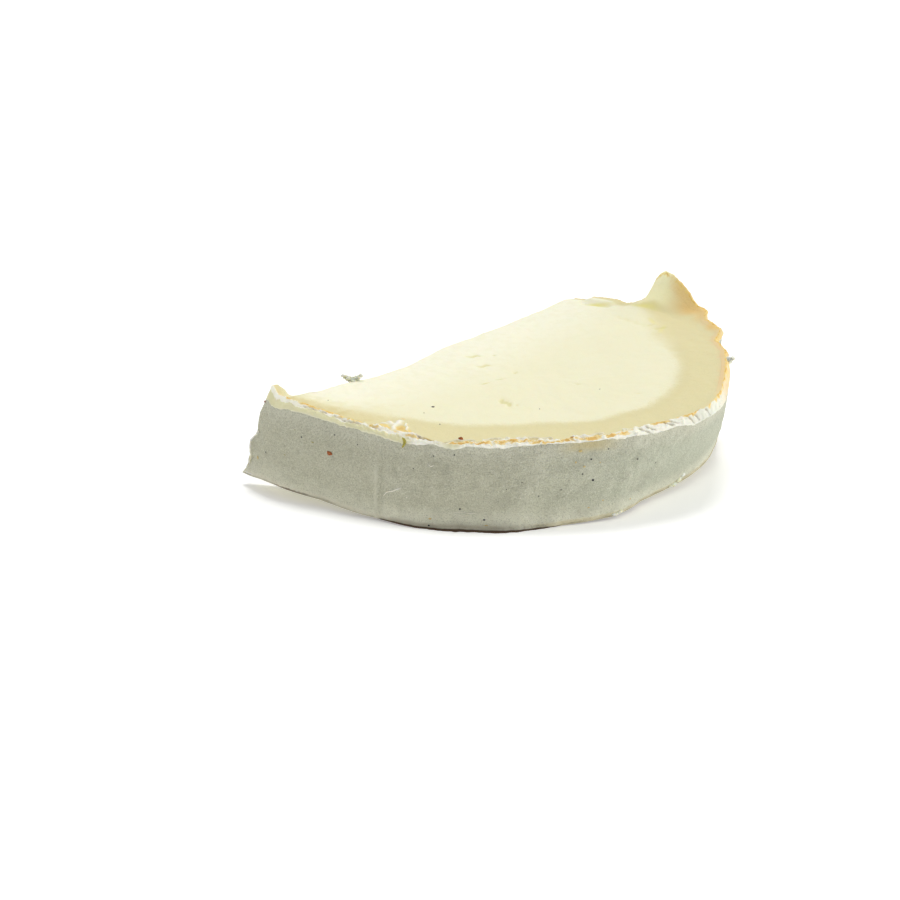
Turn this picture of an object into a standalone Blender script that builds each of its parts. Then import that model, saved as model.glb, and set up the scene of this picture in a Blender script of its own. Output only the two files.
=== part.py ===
# A thick slice of a white-rinded soft cheese log, cut to a little more than half a round.
# It lies on one cut face. The other cut face is its top, the rind is its curved wall,
# and the long straight cut is its back. All of it is one solid, because it is one piece of food.
# Sizes are in millimetres here and become metres when the mesh is made.
import bpy
import numpy as np
from mathutils import Vector
from mathutils import noise

MILLIMETRE = 0.001

# The round: where its middle lies, how thick the slice is at the front and how much it gains to the back.
MIDDLE = np.array([9.0, -1.0])
FRONT_Y = -50.0
THICKNESS = 17.3
WEDGE_SLOPE = 0.0524

# The straight cut: the way it runs, and the way it faces.
CUT_HEADING = np.radians(50.5)
ALONG_CUT = np.array([np.cos(CUT_HEADING), np.sin(CUT_HEADING)])
OUT_OF_CUT = np.array([-ALONG_CUT[1], ALONG_CUT[0]])
CUT_DISTANCE = 13.6

# Radius of the rind round the middle, by heading in degrees: at the top edge and at the bottom edge.
TOP_HEADING = [-152, -146, -140, -132, -120, -107, -98, -88, -80, -72, -62, -54, -46, -38, -28, -17, -5, 5,
               20, 32, 41, 47, 49.5, 52, 58, 66]
TOP_RADIUS = [52.6, 52.0, 50.7, 49.2, 48.9, 49.3, 50.0, 49.5, 49.8, 50.9, 52.4, 53.4, 54.4, 54.5, 52.8, 50.8,
              49.4, 48.7, 49.3, 50.2, 50.6, 50.0, 48.0, 46.8, 46.6, 46.3]
BOTTOM_HEADING = [-157.5, -150, -142, -134, -120, -107, -98, -88, -78, -61, -50, -38, -23, -6, 8, 30, 50, 66]
BOTTOM_RADIUS = [55.7, 54.9, 53.2, 50.8, 50.1, 49.9, 48.9, 49.2, 48.3, 48.1, 46.6, 44.7, 45.3, 46.3, 48.3, 48.8,
                 47.2, 45.6]

# The straight cut, from its right end to the tail of rind at its left end:
# how far along it each station is, and how far out from the middle.
CUT_ALONG = [44.6, 42.0, 25.5, 11.7, -0.7, -15.0, -25.0, -33.0, -40.5, -43.2, -44.8, -46.4, -48.3]
CUT_OUT = [12.4, 13.1, 13.0, 13.0, 13.7, 11.6, 12.0, 13.2, 13.4, 14.2, 16.4, 18.8, 20.4]
CUT_FOOT_ALONG = [42.9, 41.0, 25.0, 11.0, -1.5, -16.0, -26.0, -34.5, -42.5, -44.8, -46.4, -47.8, -49.2]
CUT_FOOT_OUT = [12.6, 14.0, 14.4, 14.2, 15.0, 13.6, 14.4, 15.4, 15.8, 17.0, 20.2, 24.2, 26.2]

# The rind's cut edge: how wide it is, and how far it slopes down to the wall.
EDGE_WIDTH = 1.4
EDGE_HEADING = [-152, -147, -141, -119, -105, -98, -89, -80, -66, -55, -45, -36, -20, 0, 20, 66]
EDGE_DROP = [3.0, 2.4, 1.5, 1.2, 0.8, 0.5, 0.9, 0.5, 0.6, 1.3, 2.0, 2.0, 1.2, 0.8, 0.6, 0.6]

# The ends of the slice curl up off the table, the left one more.
LEFT_LIFT = 3.2
LEFT_LIFT_START = -2.0
LEFT_LIFT_REACH = 40.5
RIGHT_LIFT = 2.8
RIGHT_LIFT_START = 18.0
RIGHT_LIFT_REACH = 40.0
FLAT_SHARE = 0.56

# The ear: a stretch of rim at the far right that stands up, by heading.
EAR_HEADING = [27.5, 28.6, 29.8, 31.2, 33, 35.8, 38, 41, 43, 44.8, 46.7, 49]
EAR_HEIGHT = [0.0, 0.6, 1.9, 3.2, 4.2, 5.2, 6.6, 7.1, 6.1, 4.4, 2.0, 0.0]
EAR_FOOT = 45.2

# How fine the mesh is.
ARC_STEPS = 162
CUT_STEPS = 64
TOP_RINGS = [0.15, 0.34, 0.5, 0.64, 0.75, 0.82, 0.87, 0.905, 0.935, 0.965, 0.985]
WALL_LEVELS = [0.0, 0.07, 0.2, 0.35, 0.5, 0.65, 0.8, 0.92, 1.0]
BOTTOM_RINGS = [0.975, 0.9, 0.75, 0.56, 0.3]

# The whole slice is moved by this so that the frame's origin is under the middle of its box.
SHIFT = np.array([-8.1, 4.6])


def ramp(low, high, value):
    """0 below low, 1 above high and smooth between them."""
    share = np.clip((value - low) / (high - low), 0.0, 1.0)
    return share * share * (3.0 - 2.0 * share)


def rough(x, y, z, size, octaves=3):
    """Smooth noise between about -1 and 1 at a point, with bumps of this size."""
    return noise.fractal(Vector((x / size, y / size, z / size)), 0.9, 2.1, octaves)


def heading_of(points):
    """Heading of each point round the middle in degrees, unbroken along the rind."""
    away = points - MIDDLE
    return np.degrees(np.arctan2(away[:, 1], away[:, 0]))


def rind_line(headings, table_heading, table_radius, inset=0.0):
    """Points on the rind at these headings, moved in by inset."""
    radius = np.interp(headings, table_heading, table_radius) - inset
    turn = np.radians(headings)
    return MIDDLE + np.stack([np.cos(turn), np.sin(turn)], axis=1) * radius[:, None]


def cut_line(shares, along_table, out_table):
    """Points on the straight cut: share 0 is its right end and 1 the tip of the tail."""
    along_table = np.array(along_table)
    out_table = np.array(out_table)
    steps = np.hypot(np.diff(along_table), np.diff(out_table))
    travelled = np.concatenate([[0.0], np.cumsum(steps)]) / steps.sum()
    along = np.interp(shares, travelled, along_table)
    out = np.interp(shares, travelled, out_table)
    return MIDDLE + along[:, None] * ALONG_CUT + out[:, None] * OUT_OF_CUT


def scallops(headings):
    """How far the rim stands out in the small lobes at the far right."""
    lobes = 1.4 * np.exp(-((headings - 26.0) / 2.0) ** 2) - 0.5 * np.exp(-((headings - 20.5) / 2.0) ** 2)
    lobes += 0.7 * np.exp(-((headings - 12.0) / 2.0) ** 2) - 0.6 * np.exp(-((headings - 7.0) / 1.6) ** 2)
    lobes += 0.4 * np.exp(-((headings + 1.5) / 2.2) ** 2)
    return lobes


def lift(x):
    """How far the slice curls up off the table at its left and right ends."""
    left = np.clip((LEFT_LIFT_START - x) / LEFT_LIFT_REACH, 0.0, None)
    right = np.clip((x - RIGHT_LIFT_START) / RIGHT_LIFT_REACH, 0.0, None)
    return LEFT_LIFT * left ** 1.5 + RIGHT_LIFT * right ** 1.3


def ear_height(points):
    """How far the top is turned up at the ear: nothing at its foot, most at the rim."""
    away = np.hypot(*(points - MIDDLE).T)
    up_slope = np.clip((away - EAR_FOOT) / 5.0, 0.0, 1.0) ** 1.5
    return np.interp(heading_of(points), EAR_HEADING, EAR_HEIGHT, left=0.0, right=0.0) * up_slope


def tail_rise(points):
    """The tail of rind at the left end is curled up a little."""
    out = (points - MIDDLE) @ OUT_OF_CUT
    return 0.5 * ramp(14.5, 18.5, out) * (points[:, 0] < 0.0)


def torn_lip(points):
    """Left of the ear the paste is torn: a low lip stands up and its far side falls away to the rim."""
    away = np.hypot(*(points - MIDDLE).T)
    heading = heading_of(points)
    stretch = ramp(50.5, 53.0, heading) * (1.0 - ramp(60.0, 63.0, heading))
    lip = 0.9 * ramp(42.3, 43.2, away) * stretch
    fall = 1.5 * ramp(42.5, 46.0, away) * ramp(49.0, 52.0, heading) * (heading < 90.0)
    return lip - fall


def top_height(points):
    """Height of the upper cut face over the table."""
    flat = THICKNESS + WEDGE_SLOPE * (points[:, 1] - FRONT_Y) + lift(points[:, 0])
    return flat + ear_height(points) + tail_rise(points) + torn_lip(points)


def bottom_height(points):
    """Height of the lower cut face: flat in the middle, lifted towards the two ends."""
    share = np.hypot(*(points - MIDDLE).T) / 50.0
    return lift(points[:, 0]) * ramp(FLAT_SHARE, 1.08, share)


def loops():
    """The closed outlines, going round anticlockwise from the left end: rim, paste edge, foot and whether on rind."""
    turn = np.linspace(TOP_HEADING[0], TOP_HEADING[-1], ARC_STEPS)
    foot_turn = np.linspace(BOTTOM_HEADING[0], BOTTOM_HEADING[-1], ARC_STEPS)
    shares = np.linspace(0.0, 1.0, CUT_STEPS + 2)[1:-1]
    on_rind = np.concatenate([np.ones(ARC_STEPS), np.zeros(CUT_STEPS)])
    radius_out = scallops(turn)
    rim_arc = rind_line(turn, TOP_HEADING, np.array(TOP_RADIUS)) + scallop_offset(turn, radius_out)
    edge_arc = rind_line(turn, TOP_HEADING, np.array(TOP_RADIUS), EDGE_WIDTH) + scallop_offset(turn, radius_out)
    foot_arc = rind_line(foot_turn, BOTTOM_HEADING, BOTTOM_RADIUS)
    cut_top = cut_line(shares, CUT_ALONG, CUT_OUT)
    cut_foot = cut_line(shares, CUT_FOOT_ALONG, CUT_FOOT_OUT)
    inner_cut = cut_top - 0.5 * OUT_OF_CUT
    rim = np.concatenate([rim_arc, cut_top])
    edge = np.concatenate([edge_arc, inner_cut])
    foot = np.concatenate([foot_arc, cut_foot])
    drop = np.concatenate([np.interp(turn, EDGE_HEADING, EDGE_DROP), np.full(CUT_STEPS, 0.35)])
    return rim, edge, foot, drop, on_rind


def scallop_offset(turn, amount):
    """The lobes as a move outwards."""
    angle = np.radians(turn)
    return np.stack([np.cos(angle), np.sin(angle)], axis=1) * amount[:, None]


def without_tail(points):
    """The outline with the tail of rind taken back to the line of the cut."""
    out = (points - MIDDLE) @ OUT_OF_CUT
    return points - np.clip(out - CUT_DISTANCE, 0.0, None)[:, None] * OUT_OF_CUT


def inner_ring(outline, share):
    """The outline drawn in towards the middle. The tail is left out further in."""
    core = without_tail(outline)
    hub = MIDDLE + np.array([6.0, -9.0])
    kept = ramp(0.86, 1.0, share)
    return hub + share * (core - hub) + kept * (outline - core)


def wall_level(rim, foot, rim_height, foot_height, on_rind, depth):
    """One level of the wall between rim and foot, with the rind's slight bulge."""
    outward = rim - MIDDLE
    outward /= np.hypot(*outward.T)[:, None]
    bulge = 0.9 * np.sin(np.pi * depth) * on_rind
    points = rim + (foot - rim) * depth + outward * bulge[:, None]
    heights = rim_height + (foot_height - rim_height) * depth
    return points, heights


def roughened(points, heights, on_rind, depth):
    """Dents in the rind and crags in the cut face, none of them at the very foot."""
    moved = points.copy()
    fade = 1.0 - ramp(0.85, 1.0, depth)
    outward = points - MIDDLE
    outward /= np.hypot(*outward.T)[:, None]
    for index, (x, y) in enumerate(points):
        z = heights[index]
        dent = 0.22 * rough(x, y, z, 9.0) + 0.08 * rough(x, y, z, 3.0)
        crag = 0.9 * rough(x, y, z, 6.5, 4) + 0.45 * rough(y, z, x, 2.4)
        if on_rind[index]:
            moved[index] += outward[index] * dent
        else:
            moved[index] += OUT_OF_CUT * crag * fade
    return moved


def ring_points():
    """Every ring of the slice from the hub of its top to the hub of its bottom."""
    rim, edge, foot, drop, on_rind = loops()
    rings = []
    for share in TOP_RINGS:
        ring = inner_ring(edge, share)
        heights = top_height(ring)
        heights += [0.12 * rough(x, y, 0.0, 7.0) for x, y in ring]
        rings.append(np.column_stack([ring, heights]))
    rings.append(np.column_stack([edge, top_height(edge)]))
    rim_height = top_height(rim) - drop
    foot_height = bottom_height(foot)
    for depth in WALL_LEVELS:
        points, heights = wall_level(rim, foot, rim_height, foot_height, on_rind, depth)
        points = roughened(points, heights, on_rind, depth)
        rings.append(np.column_stack([points, heights]))
    for share in BOTTOM_RINGS:
        ring = inner_ring(foot, share)
        rings.append(np.column_stack([ring, bottom_height(ring)]))
    return rings


def slice_mesh():
    """The closed mesh of the slice: rings of quads and a fan at each hub."""
    rings = ring_points()
    count = len(rings[0])
    hub = MIDDLE + np.array([6.0, -9.0])
    top_hub = [hub[0], hub[1], float(top_height(hub[None, :])[0])]
    points = [top_hub] + [list(p) for ring in rings for p in ring] + [[hub[0], hub[1], 0.0]]
    faces = []
    for k in range(count):
        follow = (k + 1) % count
        faces.append((0, 1 + k, 1 + follow))
        for level in range(len(rings) - 1):
            start = 1 + level * count
            below = start + count
            faces.append((start + k, below + k, below + follow, start + follow))
        last = 1 + (len(rings) - 1) * count
        faces.append((last + k, len(points) - 1, last + follow))
    return np.array(points), faces


def centred(points):
    """The points moved so that the box's middle is over the origin and its lowest point at height 0."""
    points = points.copy()
    points[:, :2] += SHIFT
    middle = (points.min(axis=0) + points.max(axis=0)) / 2.0
    print("left over after the shift, in millimetres:", middle[:2].round(3), points[:, 2].min().round(4))
    points[:, :2] -= middle[:2]
    points[:, 2] -= points[:, 2].min()
    return points


def rind_and_paste():
    """Pale, dull and slightly moist: the average of the white rind and the creamy paste."""
    material = bpy.data.materials.new("cheese")
    material.use_nodes = True
    shader = material.node_tree.nodes["Principled BSDF"]
    shader.inputs["Base Color"].default_value = (0.82, 0.77, 0.58, 1.0)
    shader.inputs["Metallic"].default_value = 0.0
    shader.inputs["Roughness"].default_value = 0.62
    return material


def build_slice():
    points, faces = slice_mesh()
    points = centred(points) * MILLIMETRE
    mesh = bpy.data.meshes.new("cheese_slice")
    mesh.from_pydata(points.tolist(), [], faces)
    mesh.update()
    mesh.shade_smooth()
    slice_object = bpy.data.objects.new("cheese_slice", mesh)
    slice_object.data.materials.append(rind_and_paste())
    bpy.context.scene.collection.objects.link(slice_object)


for leftover in list(bpy.data.objects):
    bpy.data.objects.remove(leftover)
build_slice()
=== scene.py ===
# %% [markdown]
# # A thick slice of soft cheese with a white rind
# The object is a slice of a round goat cheese log, cut straight across to a little more than half a round.
# It lies on one cut face. We see the other cut face, which is creamy and almost white, with a yellower ripened
# ring under the rind, and the rind's grey-white wall in the shade. The solid model of it is loaded first and
# stays where it is. Finer meshes of the same slice then stand in for it.

import bmesh
import bpy
import numpy as np
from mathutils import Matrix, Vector, noise


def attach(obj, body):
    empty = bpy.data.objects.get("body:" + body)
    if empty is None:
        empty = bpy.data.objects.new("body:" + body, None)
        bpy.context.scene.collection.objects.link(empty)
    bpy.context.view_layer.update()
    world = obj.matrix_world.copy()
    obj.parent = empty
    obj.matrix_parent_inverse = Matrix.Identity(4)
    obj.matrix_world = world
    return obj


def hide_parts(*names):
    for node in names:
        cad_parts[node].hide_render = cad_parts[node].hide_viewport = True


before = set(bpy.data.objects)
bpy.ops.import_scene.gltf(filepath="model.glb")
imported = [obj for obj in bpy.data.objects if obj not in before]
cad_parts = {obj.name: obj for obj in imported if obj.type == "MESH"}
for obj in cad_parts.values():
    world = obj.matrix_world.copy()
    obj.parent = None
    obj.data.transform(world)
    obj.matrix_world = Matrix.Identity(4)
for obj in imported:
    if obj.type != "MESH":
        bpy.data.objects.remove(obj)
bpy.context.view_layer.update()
MM = 0.001

# %% [markdown]
# ## Measures of the slice
# A slice this simple could be cut from a cylinder with Booleans, but the rim wanders, the wall leans and the ends
# curl up, so it is described by headings round its middle instead: at each heading a radius for the rim and one
# for the foot. Numbers between two stations are blended. All are in millimetres. They are those of the solid, with
# small corrections at the ear, the tail and the foot.

# %% Outline, thickness and lift
MIDDLE = np.array([9.0, -1.0])
HUB = MIDDLE + np.array([6.0, -9.0])
TO_FRAME = np.array([-8.029, 4.615, 0.0])
FRONT_Y = -50.0
THICKNESS = 17.3
WEDGE_SLOPE = 0.0524
CUT_HEADING = np.radians(50.5)
ALONG_CUT = np.array([np.cos(CUT_HEADING), np.sin(CUT_HEADING)])
OUT_OF_CUT = np.array([-ALONG_CUT[1], ALONG_CUT[0]])
CUT_DISTANCE = 13.6
TOP_HEADING = [-152, -146, -140, -132, -120, -107, -98, -88, -80, -72, -62, -54, -46, -38, -28, -17, -5, 5,
               20, 32, 41, 47, 49.5, 52, 58, 66]
TOP_RADIUS = [52.6, 52.0, 50.7, 49.2, 48.9, 49.3, 50.0, 49.5, 49.8, 50.9, 52.4, 53.4, 54.4, 54.5, 52.8, 50.8,
              49.4, 48.7, 49.3, 50.2, 50.6, 50.0, 48.0, 46.8, 46.6, 46.3]
BOTTOM_HEADING = [-157.5, -150, -142, -134, -120, -107, -98, -88, -78, -61, -50, -38, -23, -6, 8, 30, 50, 66]
BOTTOM_RADIUS = [55.7, 54.9, 53.2, 50.8, 50.1, 49.9, 48.9, 49.2, 48.3, 48.1, 46.6, 44.7, 45.3, 46.3, 48.3, 48.8,
                 47.2, 45.6]
CUT_ALONG = [44.6, 42.0, 25.5, 11.7, -0.7, -15.0, -25.0, -33.0, -40.5, -43.2, -44.8, -46.4, -48.3]
CUT_OUT = [12.4, 13.1, 13.0, 13.0, 13.7, 11.6, 12.0, 13.2, 13.4, 14.2, 16.4, 18.8, 20.4]
CUT_FOOT_ALONG = [42.9, 41.0, 25.0, 11.0, -1.5, -16.0, -26.0, -34.5, -42.5, -44.8, -46.4, -47.8, -49.2]
CUT_FOOT_OUT = [12.6, 14.0, 14.4, 14.2, 15.0, 13.6, 14.4, 15.4, 15.8, 17.0, 20.2, 24.2, 26.2]
FOOT_GROW_HEADING = [-120, -107, -98, -90, -82, -72, -62, -55, -50, -44, -38]
FOOT_GROW = [0.0, 0.4, 0.9, 1.0, 0.9, 1.0, 1.3, 0.2, -1.1, -0.8, 0.0]
FOOT_RAISE_HEADING = [-157.5, -154, -150, -146, -130, -122]
FOOT_RAISE = [-0.7, -0.3, 0.35, 0.5, 0.35, 0.0]
EDGE_STATION = [-152, -148, -144, -140, -134, -128, -120, -116, -112, -107, -103, -100, -96, -92, -88, -84, -80, -76,
                -68, -64, -60, -55, -51, -47, -43, -38, -32, -20, 0, 20, 28, 66]
EDGE_WIDTH = [1.6, 1.45, 1.3, 1.7, 2.0, 1.8, 1.8, 1.85, 1.65, 1.5, 0.75, 0.6, 1.1, 1.65, 2.2, 2.5, 2.0, 1.45,
              1.25, 1.35, 1.7, 1.95, 1.8, 1.3, 0.7, 0.6, 0.8, 0.75, 0.6, 0.6, 0.5, 0.6]
EDGE_HEADING = [-152, -148, -144, -140, -132, -124, -119, -115.5, -112, -108, -104, -98, -92, -88, -84, -78, -72, -64,
                -56, -48, -44, -40, -32, -26, -18, 0, 20, 66]
EDGE_DROP = [2.5, 2.3, 1.6, 0.9, 0.85, 0.6, 0.5, 0.75, 1.1, 0.55, 0.1, -0.05, 0.3, 0.45, -0.1, -0.25, -0.15, 0.2,
             0.65, 1.0, 1.6, 1.75, 2.0, 2.4, 2.0, 0.8, 0.4, 0.4]
LEFT_LIFT = 3.2
LEFT_LIFT_START = -2.0
LEFT_LIFT_REACH = 40.5
RIGHT_LIFT = 2.8
RIGHT_LIFT_START = 18.0
RIGHT_LIFT_REACH = 40.0
FLAT_SHARE = 0.56
EAR_HEADING = [4, 10, 15, 20, 26, 27.5, 28.6, 29.8, 31.2, 33, 35.8, 38, 39.6, 41.3, 42.6, 43.9, 44.8, 45.6, 46.6, 47.6]
EAR_HEIGHT = [0.0, 0.5, 1.0, 1.1, 1.3, 1.5, 2.1, 3.1, 4.1, 5.0, 6.0, 6.8, 7.1, 7.1, 6.5, 5.4, 4.0, 2.2, 0.6, 0.0]
EAR_FOOT = 45.2
TAIL_OUT = [13.8, 15.4, 16.4, 17.1, 17.6, 18.6, 19.0, 19.4, 19.8, 20.3, 21.0]
TAIL_RISE = [0.0, -0.7, -1.1, -0.9, 0.1, 0.9, 1.0, 0.8, -0.1, -0.9, -1.3]
print("stations round the rim:", len(TOP_HEADING), "and round the foot:", len(BOTTOM_HEADING))

# %% [markdown]
# ## Small helpers for shape
# `ramp` is a soft step, `hill` a soft bump and `rough` is smooth noise with bumps of a chosen size in millimetres.
# Nearly all of the relief on the cheese is made of these three. `between` is one inside a stretch and nought outside
# it, and `turned` measures along and across a stroke that lies at an angle.

# %% Ramps, hills and noise
def ramp(low, high, value):
    share = np.clip((value - low) / (high - low), 0.0, 1.0)
    return share * share * (3.0 - 2.0 * share)


def hill(value, centre, width):
    return np.exp(-((value - centre) / width) ** 2)


def between(low, high, soft, value):
    return ramp(low - soft, low, value) * (1.0 - ramp(high, high + soft, value))


def rough(x, y, z, size, octaves=3):
    return noise.fractal(Vector((x / size, y / size, z / size)), 0.9, 2.1, octaves)


def rough_over(points, size, octaves=3, seed=0.0):
    return np.array([rough(x + seed, y, z, size, octaves) for x, y, z in points])


def turned(points, x, y, turn):
    right, up = points[:, 0] - x, points[:, 1] - y
    sine, cosine = np.sin(np.radians(turn)), np.cos(np.radians(turn))
    return right * cosine + up * sine, up * cosine - right * sine


def away_of(points):
    return np.hypot(points[:, 0] - MIDDLE[0], points[:, 1] - MIDDLE[1])


def heading_of(points):
    return np.degrees(np.arctan2(points[:, 1] - MIDDLE[1], points[:, 0] - MIDDLE[0]))


def compass(headings):
    turn = np.radians(headings)
    return np.stack([np.cos(turn), np.sin(turn)], axis=1)


print("ramp at a half:", ramp(0.0, 1.0, 0.5))

# %% [markdown]
# ## Heights of the two cut faces
# The upper face rises a little to the back, because the slice is thicker there, and its rim stands up in an ear at
# the far right. Left of the ear the paste is torn. The lower face is flat in the middle and lifts under both ends,
# which is why light gets under them.

# %% Height functions
def lift(x):
    left = np.clip((LEFT_LIFT_START - x) / LEFT_LIFT_REACH, 0.0, None)
    right = np.clip((x - RIGHT_LIFT_START) / RIGHT_LIFT_REACH, 0.0, None)
    return LEFT_LIFT * left ** 1.5 + RIGHT_LIFT * right ** 1.3


def ear_height(points):
    up_slope = np.clip((away_of(points) - EAR_FOOT) / 5.0, 0.0, 1.0) ** 1.5
    return np.interp(heading_of(points), EAR_HEADING, EAR_HEIGHT, left=0.0, right=0.0) * up_slope


def tail_rise(points):
    out = (points[:, :2] - MIDDLE) @ OUT_OF_CUT
    rise = np.interp(out, TAIL_OUT, TAIL_RISE)
    inset = np.interp(heading_of(points), TOP_HEADING, TOP_RADIUS) - away_of(points)
    dip = np.minimum(rise, 0.0) * (out < 18.6) * (1.0 - ramp(1.0, 3.5, inset))
    return (rise - dip) * (points[:, 0] < 0.0)


def torn_lip(points):
    away = away_of(points)
    heading = heading_of(points)
    stretch = ramp(50.5, 53.0, heading) * (1.0 - ramp(60.0, 63.0, heading))
    lip = 0.7 * ramp(42.3, 43.6, away) * stretch
    pocket = 0.4 * hill(away, 41.6, 0.8) * stretch
    fall = 0.5 * ramp(42.5, 46.0, away) * ramp(47.0, 49.5, heading) * (heading < 90.0)
    return lip - fall - pocket


def top_height(points):
    flat = THICKNESS + WEDGE_SLOPE * (points[:, 1] - FRONT_Y) + lift(points[:, 0])
    return flat + ear_height(points) + tail_rise(points) + torn_lip(points)


def bottom_height(points):
    share = away_of(points) / 50.0
    raised = np.interp(heading_of(points), FOOT_RAISE_HEADING, FOOT_RAISE, right=0.0) * ramp(0.8, 1.0, share)
    return lift(points[:, 0]) * ramp(FLAT_SHARE, 1.08, share) + raised


print("thickness at the middle:", round(float(top_height(MIDDLE[None, :])[0]), 1))

# %% [markdown]
# ## Lines on the slice
# The rim and the foot of the rind are curves of heading. The straight cut is a row of stations along its own
# direction, and its left end turns out into the tail of rind.

# %% Rind and cut lines
def scallops(headings):
    lobes = 1.4 * hill(headings, 26.0, 2.0) - 0.5 * hill(headings, 20.5, 2.0)
    lobes += 0.7 * hill(headings, 12.0, 2.0) - 0.6 * hill(headings, 7.0, 1.6)
    lobes -= 0.55 * ramp(-32.0, -22.0, headings) * (1.0 - ramp(4.0, 14.0, headings))
    return lobes + 0.4 * hill(headings, -1.5, 2.2) + 0.5 * hill(headings, 20.0, 9.0)


def rim_radius(headings):
    return np.interp(headings, TOP_HEADING, TOP_RADIUS) + scallops(headings)


def foot_heading(headings):
    share = (headings - TOP_HEADING[0]) / (TOP_HEADING[-1] - TOP_HEADING[0])
    return BOTTOM_HEADING[0] + share * (BOTTOM_HEADING[-1] - BOTTOM_HEADING[0])


def rim_line(headings, inset=0.0):
    return MIDDLE + compass(headings) * (rim_radius(headings) - inset)[:, None]


def foot_line(headings, inset=0.0):
    lower = foot_heading(headings)
    radius = np.interp(lower, BOTTOM_HEADING, BOTTOM_RADIUS) + np.interp(lower, FOOT_GROW_HEADING, FOOT_GROW) - inset
    return MIDDLE + compass(lower) * radius[:, None]


def cut_line(shares, along_table, out_table):
    along_table = np.array(along_table)
    out_table = np.array(out_table)
    steps = np.hypot(np.diff(along_table), np.diff(out_table))
    travelled = np.concatenate([[0.0], np.cumsum(steps)]) / steps.sum()
    along = np.interp(shares, travelled, along_table)
    out = np.interp(shares, travelled, out_table)
    return MIDDLE + along[:, None] * ALONG_CUT + out[:, None] * OUT_OF_CUT


def without_tail(points):
    out = (points - MIDDLE) @ OUT_OF_CUT
    return points - np.clip(out - CUT_DISTANCE, 0.0, None)[:, None] * OUT_OF_CUT


def inner_ring(outline, share):
    core = without_tail(outline)
    kept = ramp(0.86, 1.0, share)
    return HUB + share * (core - HUB) + kept * (outline - core)


print("rim radius at the front:", round(float(rim_radius(np.array([-90.0]))[0]), 1))

# %% [markdown]
# ## From rings to a mesh
# Every piece here is a stack of closed rings with the same number of points. Neighbouring rings are joined by
# quads, and the first and last ring are closed by a fan or joined to each other. That is quicker and more exact
# than sculpting, and the result is always closed.

# %% Ring meshes
def mesh_object(name, points, faces, numbers=None):
    mesh = bpy.data.meshes.new(name)
    mesh.from_pydata(((points + TO_FRAME) * MM).tolist(), [], faces)
    mesh.update()
    mesh.shade_smooth()
    for label, values in (numbers or {}).items():
        layer = mesh.attributes.new(label, "FLOAT", "POINT")
        layer.data.foreach_set("value", np.asarray(values, np.float32))
    made = bpy.data.objects.new(name, mesh)
    bpy.context.scene.collection.objects.link(made)
    print(name, "has", sum(len(face) - 2 for face in faces), "triangles")
    return made


def ring_quads(rings, count, first=0):
    faces = []
    for level in range(rings - 1):
        start = first + level * count
        for k in range(count):
            follow = (k + 1) % count
            faces.append((start + k, start + count + k, start + count + follow, start + follow))
    return faces


def stacked(rings, top_hub, bottom_hub):
    count = len(rings[0])
    points = np.concatenate([top_hub[None, :]] + rings + [bottom_hub[None, :]])
    faces = [(0, 1 + k, 1 + (k + 1) % count) for k in range(count)]
    faces += ring_quads(len(rings), count, 1)
    last = 1 + (len(rings) - 1) * count
    faces += [(last + k, len(points) - 1, last + (k + 1) % count) for k in range(count)]
    return points, faces


print("quads between two rings of four points:", len(ring_quads(2, 4)))

# %% [markdown]
# ## The paste
# The paste is all of the cheese inside the rind. Its top was cut with a wire or a thin blade, so it is nearly
# flat, with faint drag marks and a few small pits and chips. The straight cut at the back was broken more than
# cut, so it is crumbly. Sculpting could give all this, but noise and a table of strokes come out the same each time.
# Each pit is a short stroke: its middle, its length and width, its heading and its depth.

# %% Paste: relief of the top
PITS = [(11.2, -25.9, 4.4, 1.0, -56.0, 0.5), (14.2, -27.6, 2.6, 0.5, -40.0, 0.2), (4.9, 2.2, 3.2, 0.8, 10.0, 0.4),
        (8.9, 2.8, 1.2, 0.5, -5.0, 0.35), (7.0, -3.8, 2.8, 0.9, 15.0, 0.35), (7.4, -9.6, 1.2, 0.5, 12.0, 0.35),
        (7.4, -14.5, 2.4, 0.6, 18.0, 0.3), (10.3, -12.1, 0.9, 0.6, 0.0, 0.4), (13.5, -7.8, 1.2, 0.6, 20.0, 0.3),
        (2.4, -7.0, 1.8, 0.4, 18.0, 0.2), (38.5, -23.7, 1.8, 0.4, -8.0, 0.2), (-9.6, -28.5, 1.4, 0.4, 30.0, 0.2),
        (-15.0, -25.0, 1.1, 0.4, 10.0, 0.2), (26.0, -16.0, 1.0, 0.5, 5.0, 0.2), (39.1, 21.3, 13.0, 1.8, -53.0, 0.12),
        (44.8, 15.2, 2.8, 1.2, -20.0, 0.25), (43.0, 18.0, 1.4, 0.8, -35.0, 0.2)]


def pits(points):
    depth = np.zeros(len(points))
    for x, y, length, width, turn, deep in PITS:
        along, across = turned(points, x, y, turn)
        wander = 0.3 * np.sin(along * 2.3)
        depth += deep * np.exp(-((along / (0.5 * length)) ** 4 + ((across - wander) / (0.5 * width)) ** 2))
    return depth


def paste_waves(points):
    low = 0.12 * rough_over(points * [1, 1, 0], 7.0)
    fine = 0.05 * rough_over(points * [1, 1, 0], 2.2, 4, 31.0)
    drag = 0.03 * rough_over(points * [0.35, 1.4, 0], 1.6, 2, 11.0)
    return low + fine + drag


def edge_width(headings):
    return np.interp(headings, EDGE_STATION, EDGE_WIDTH)


def edge_drop(headings):
    return np.interp(headings, EDGE_HEADING, EDGE_DROP)


def below_crust(points):
    """How far the paste is sunk where the crust will lie over it."""
    heading = heading_of(points)
    inset = rim_radius(heading) - away_of(points)
    width = edge_width(heading)
    on_arc = (heading > -160.0) * (heading < 67.0)
    bevel = np.clip(1.0 - inset / width, 0.0, 1.0) ** 1.3 * edge_drop(heading)
    return (bevel + 0.4 * (1.0 - ramp(0.0, 0.7, inset - width))) * on_arc


print("deepest pit, millimetres:", max(pit[-1] for pit in PITS))

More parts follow.
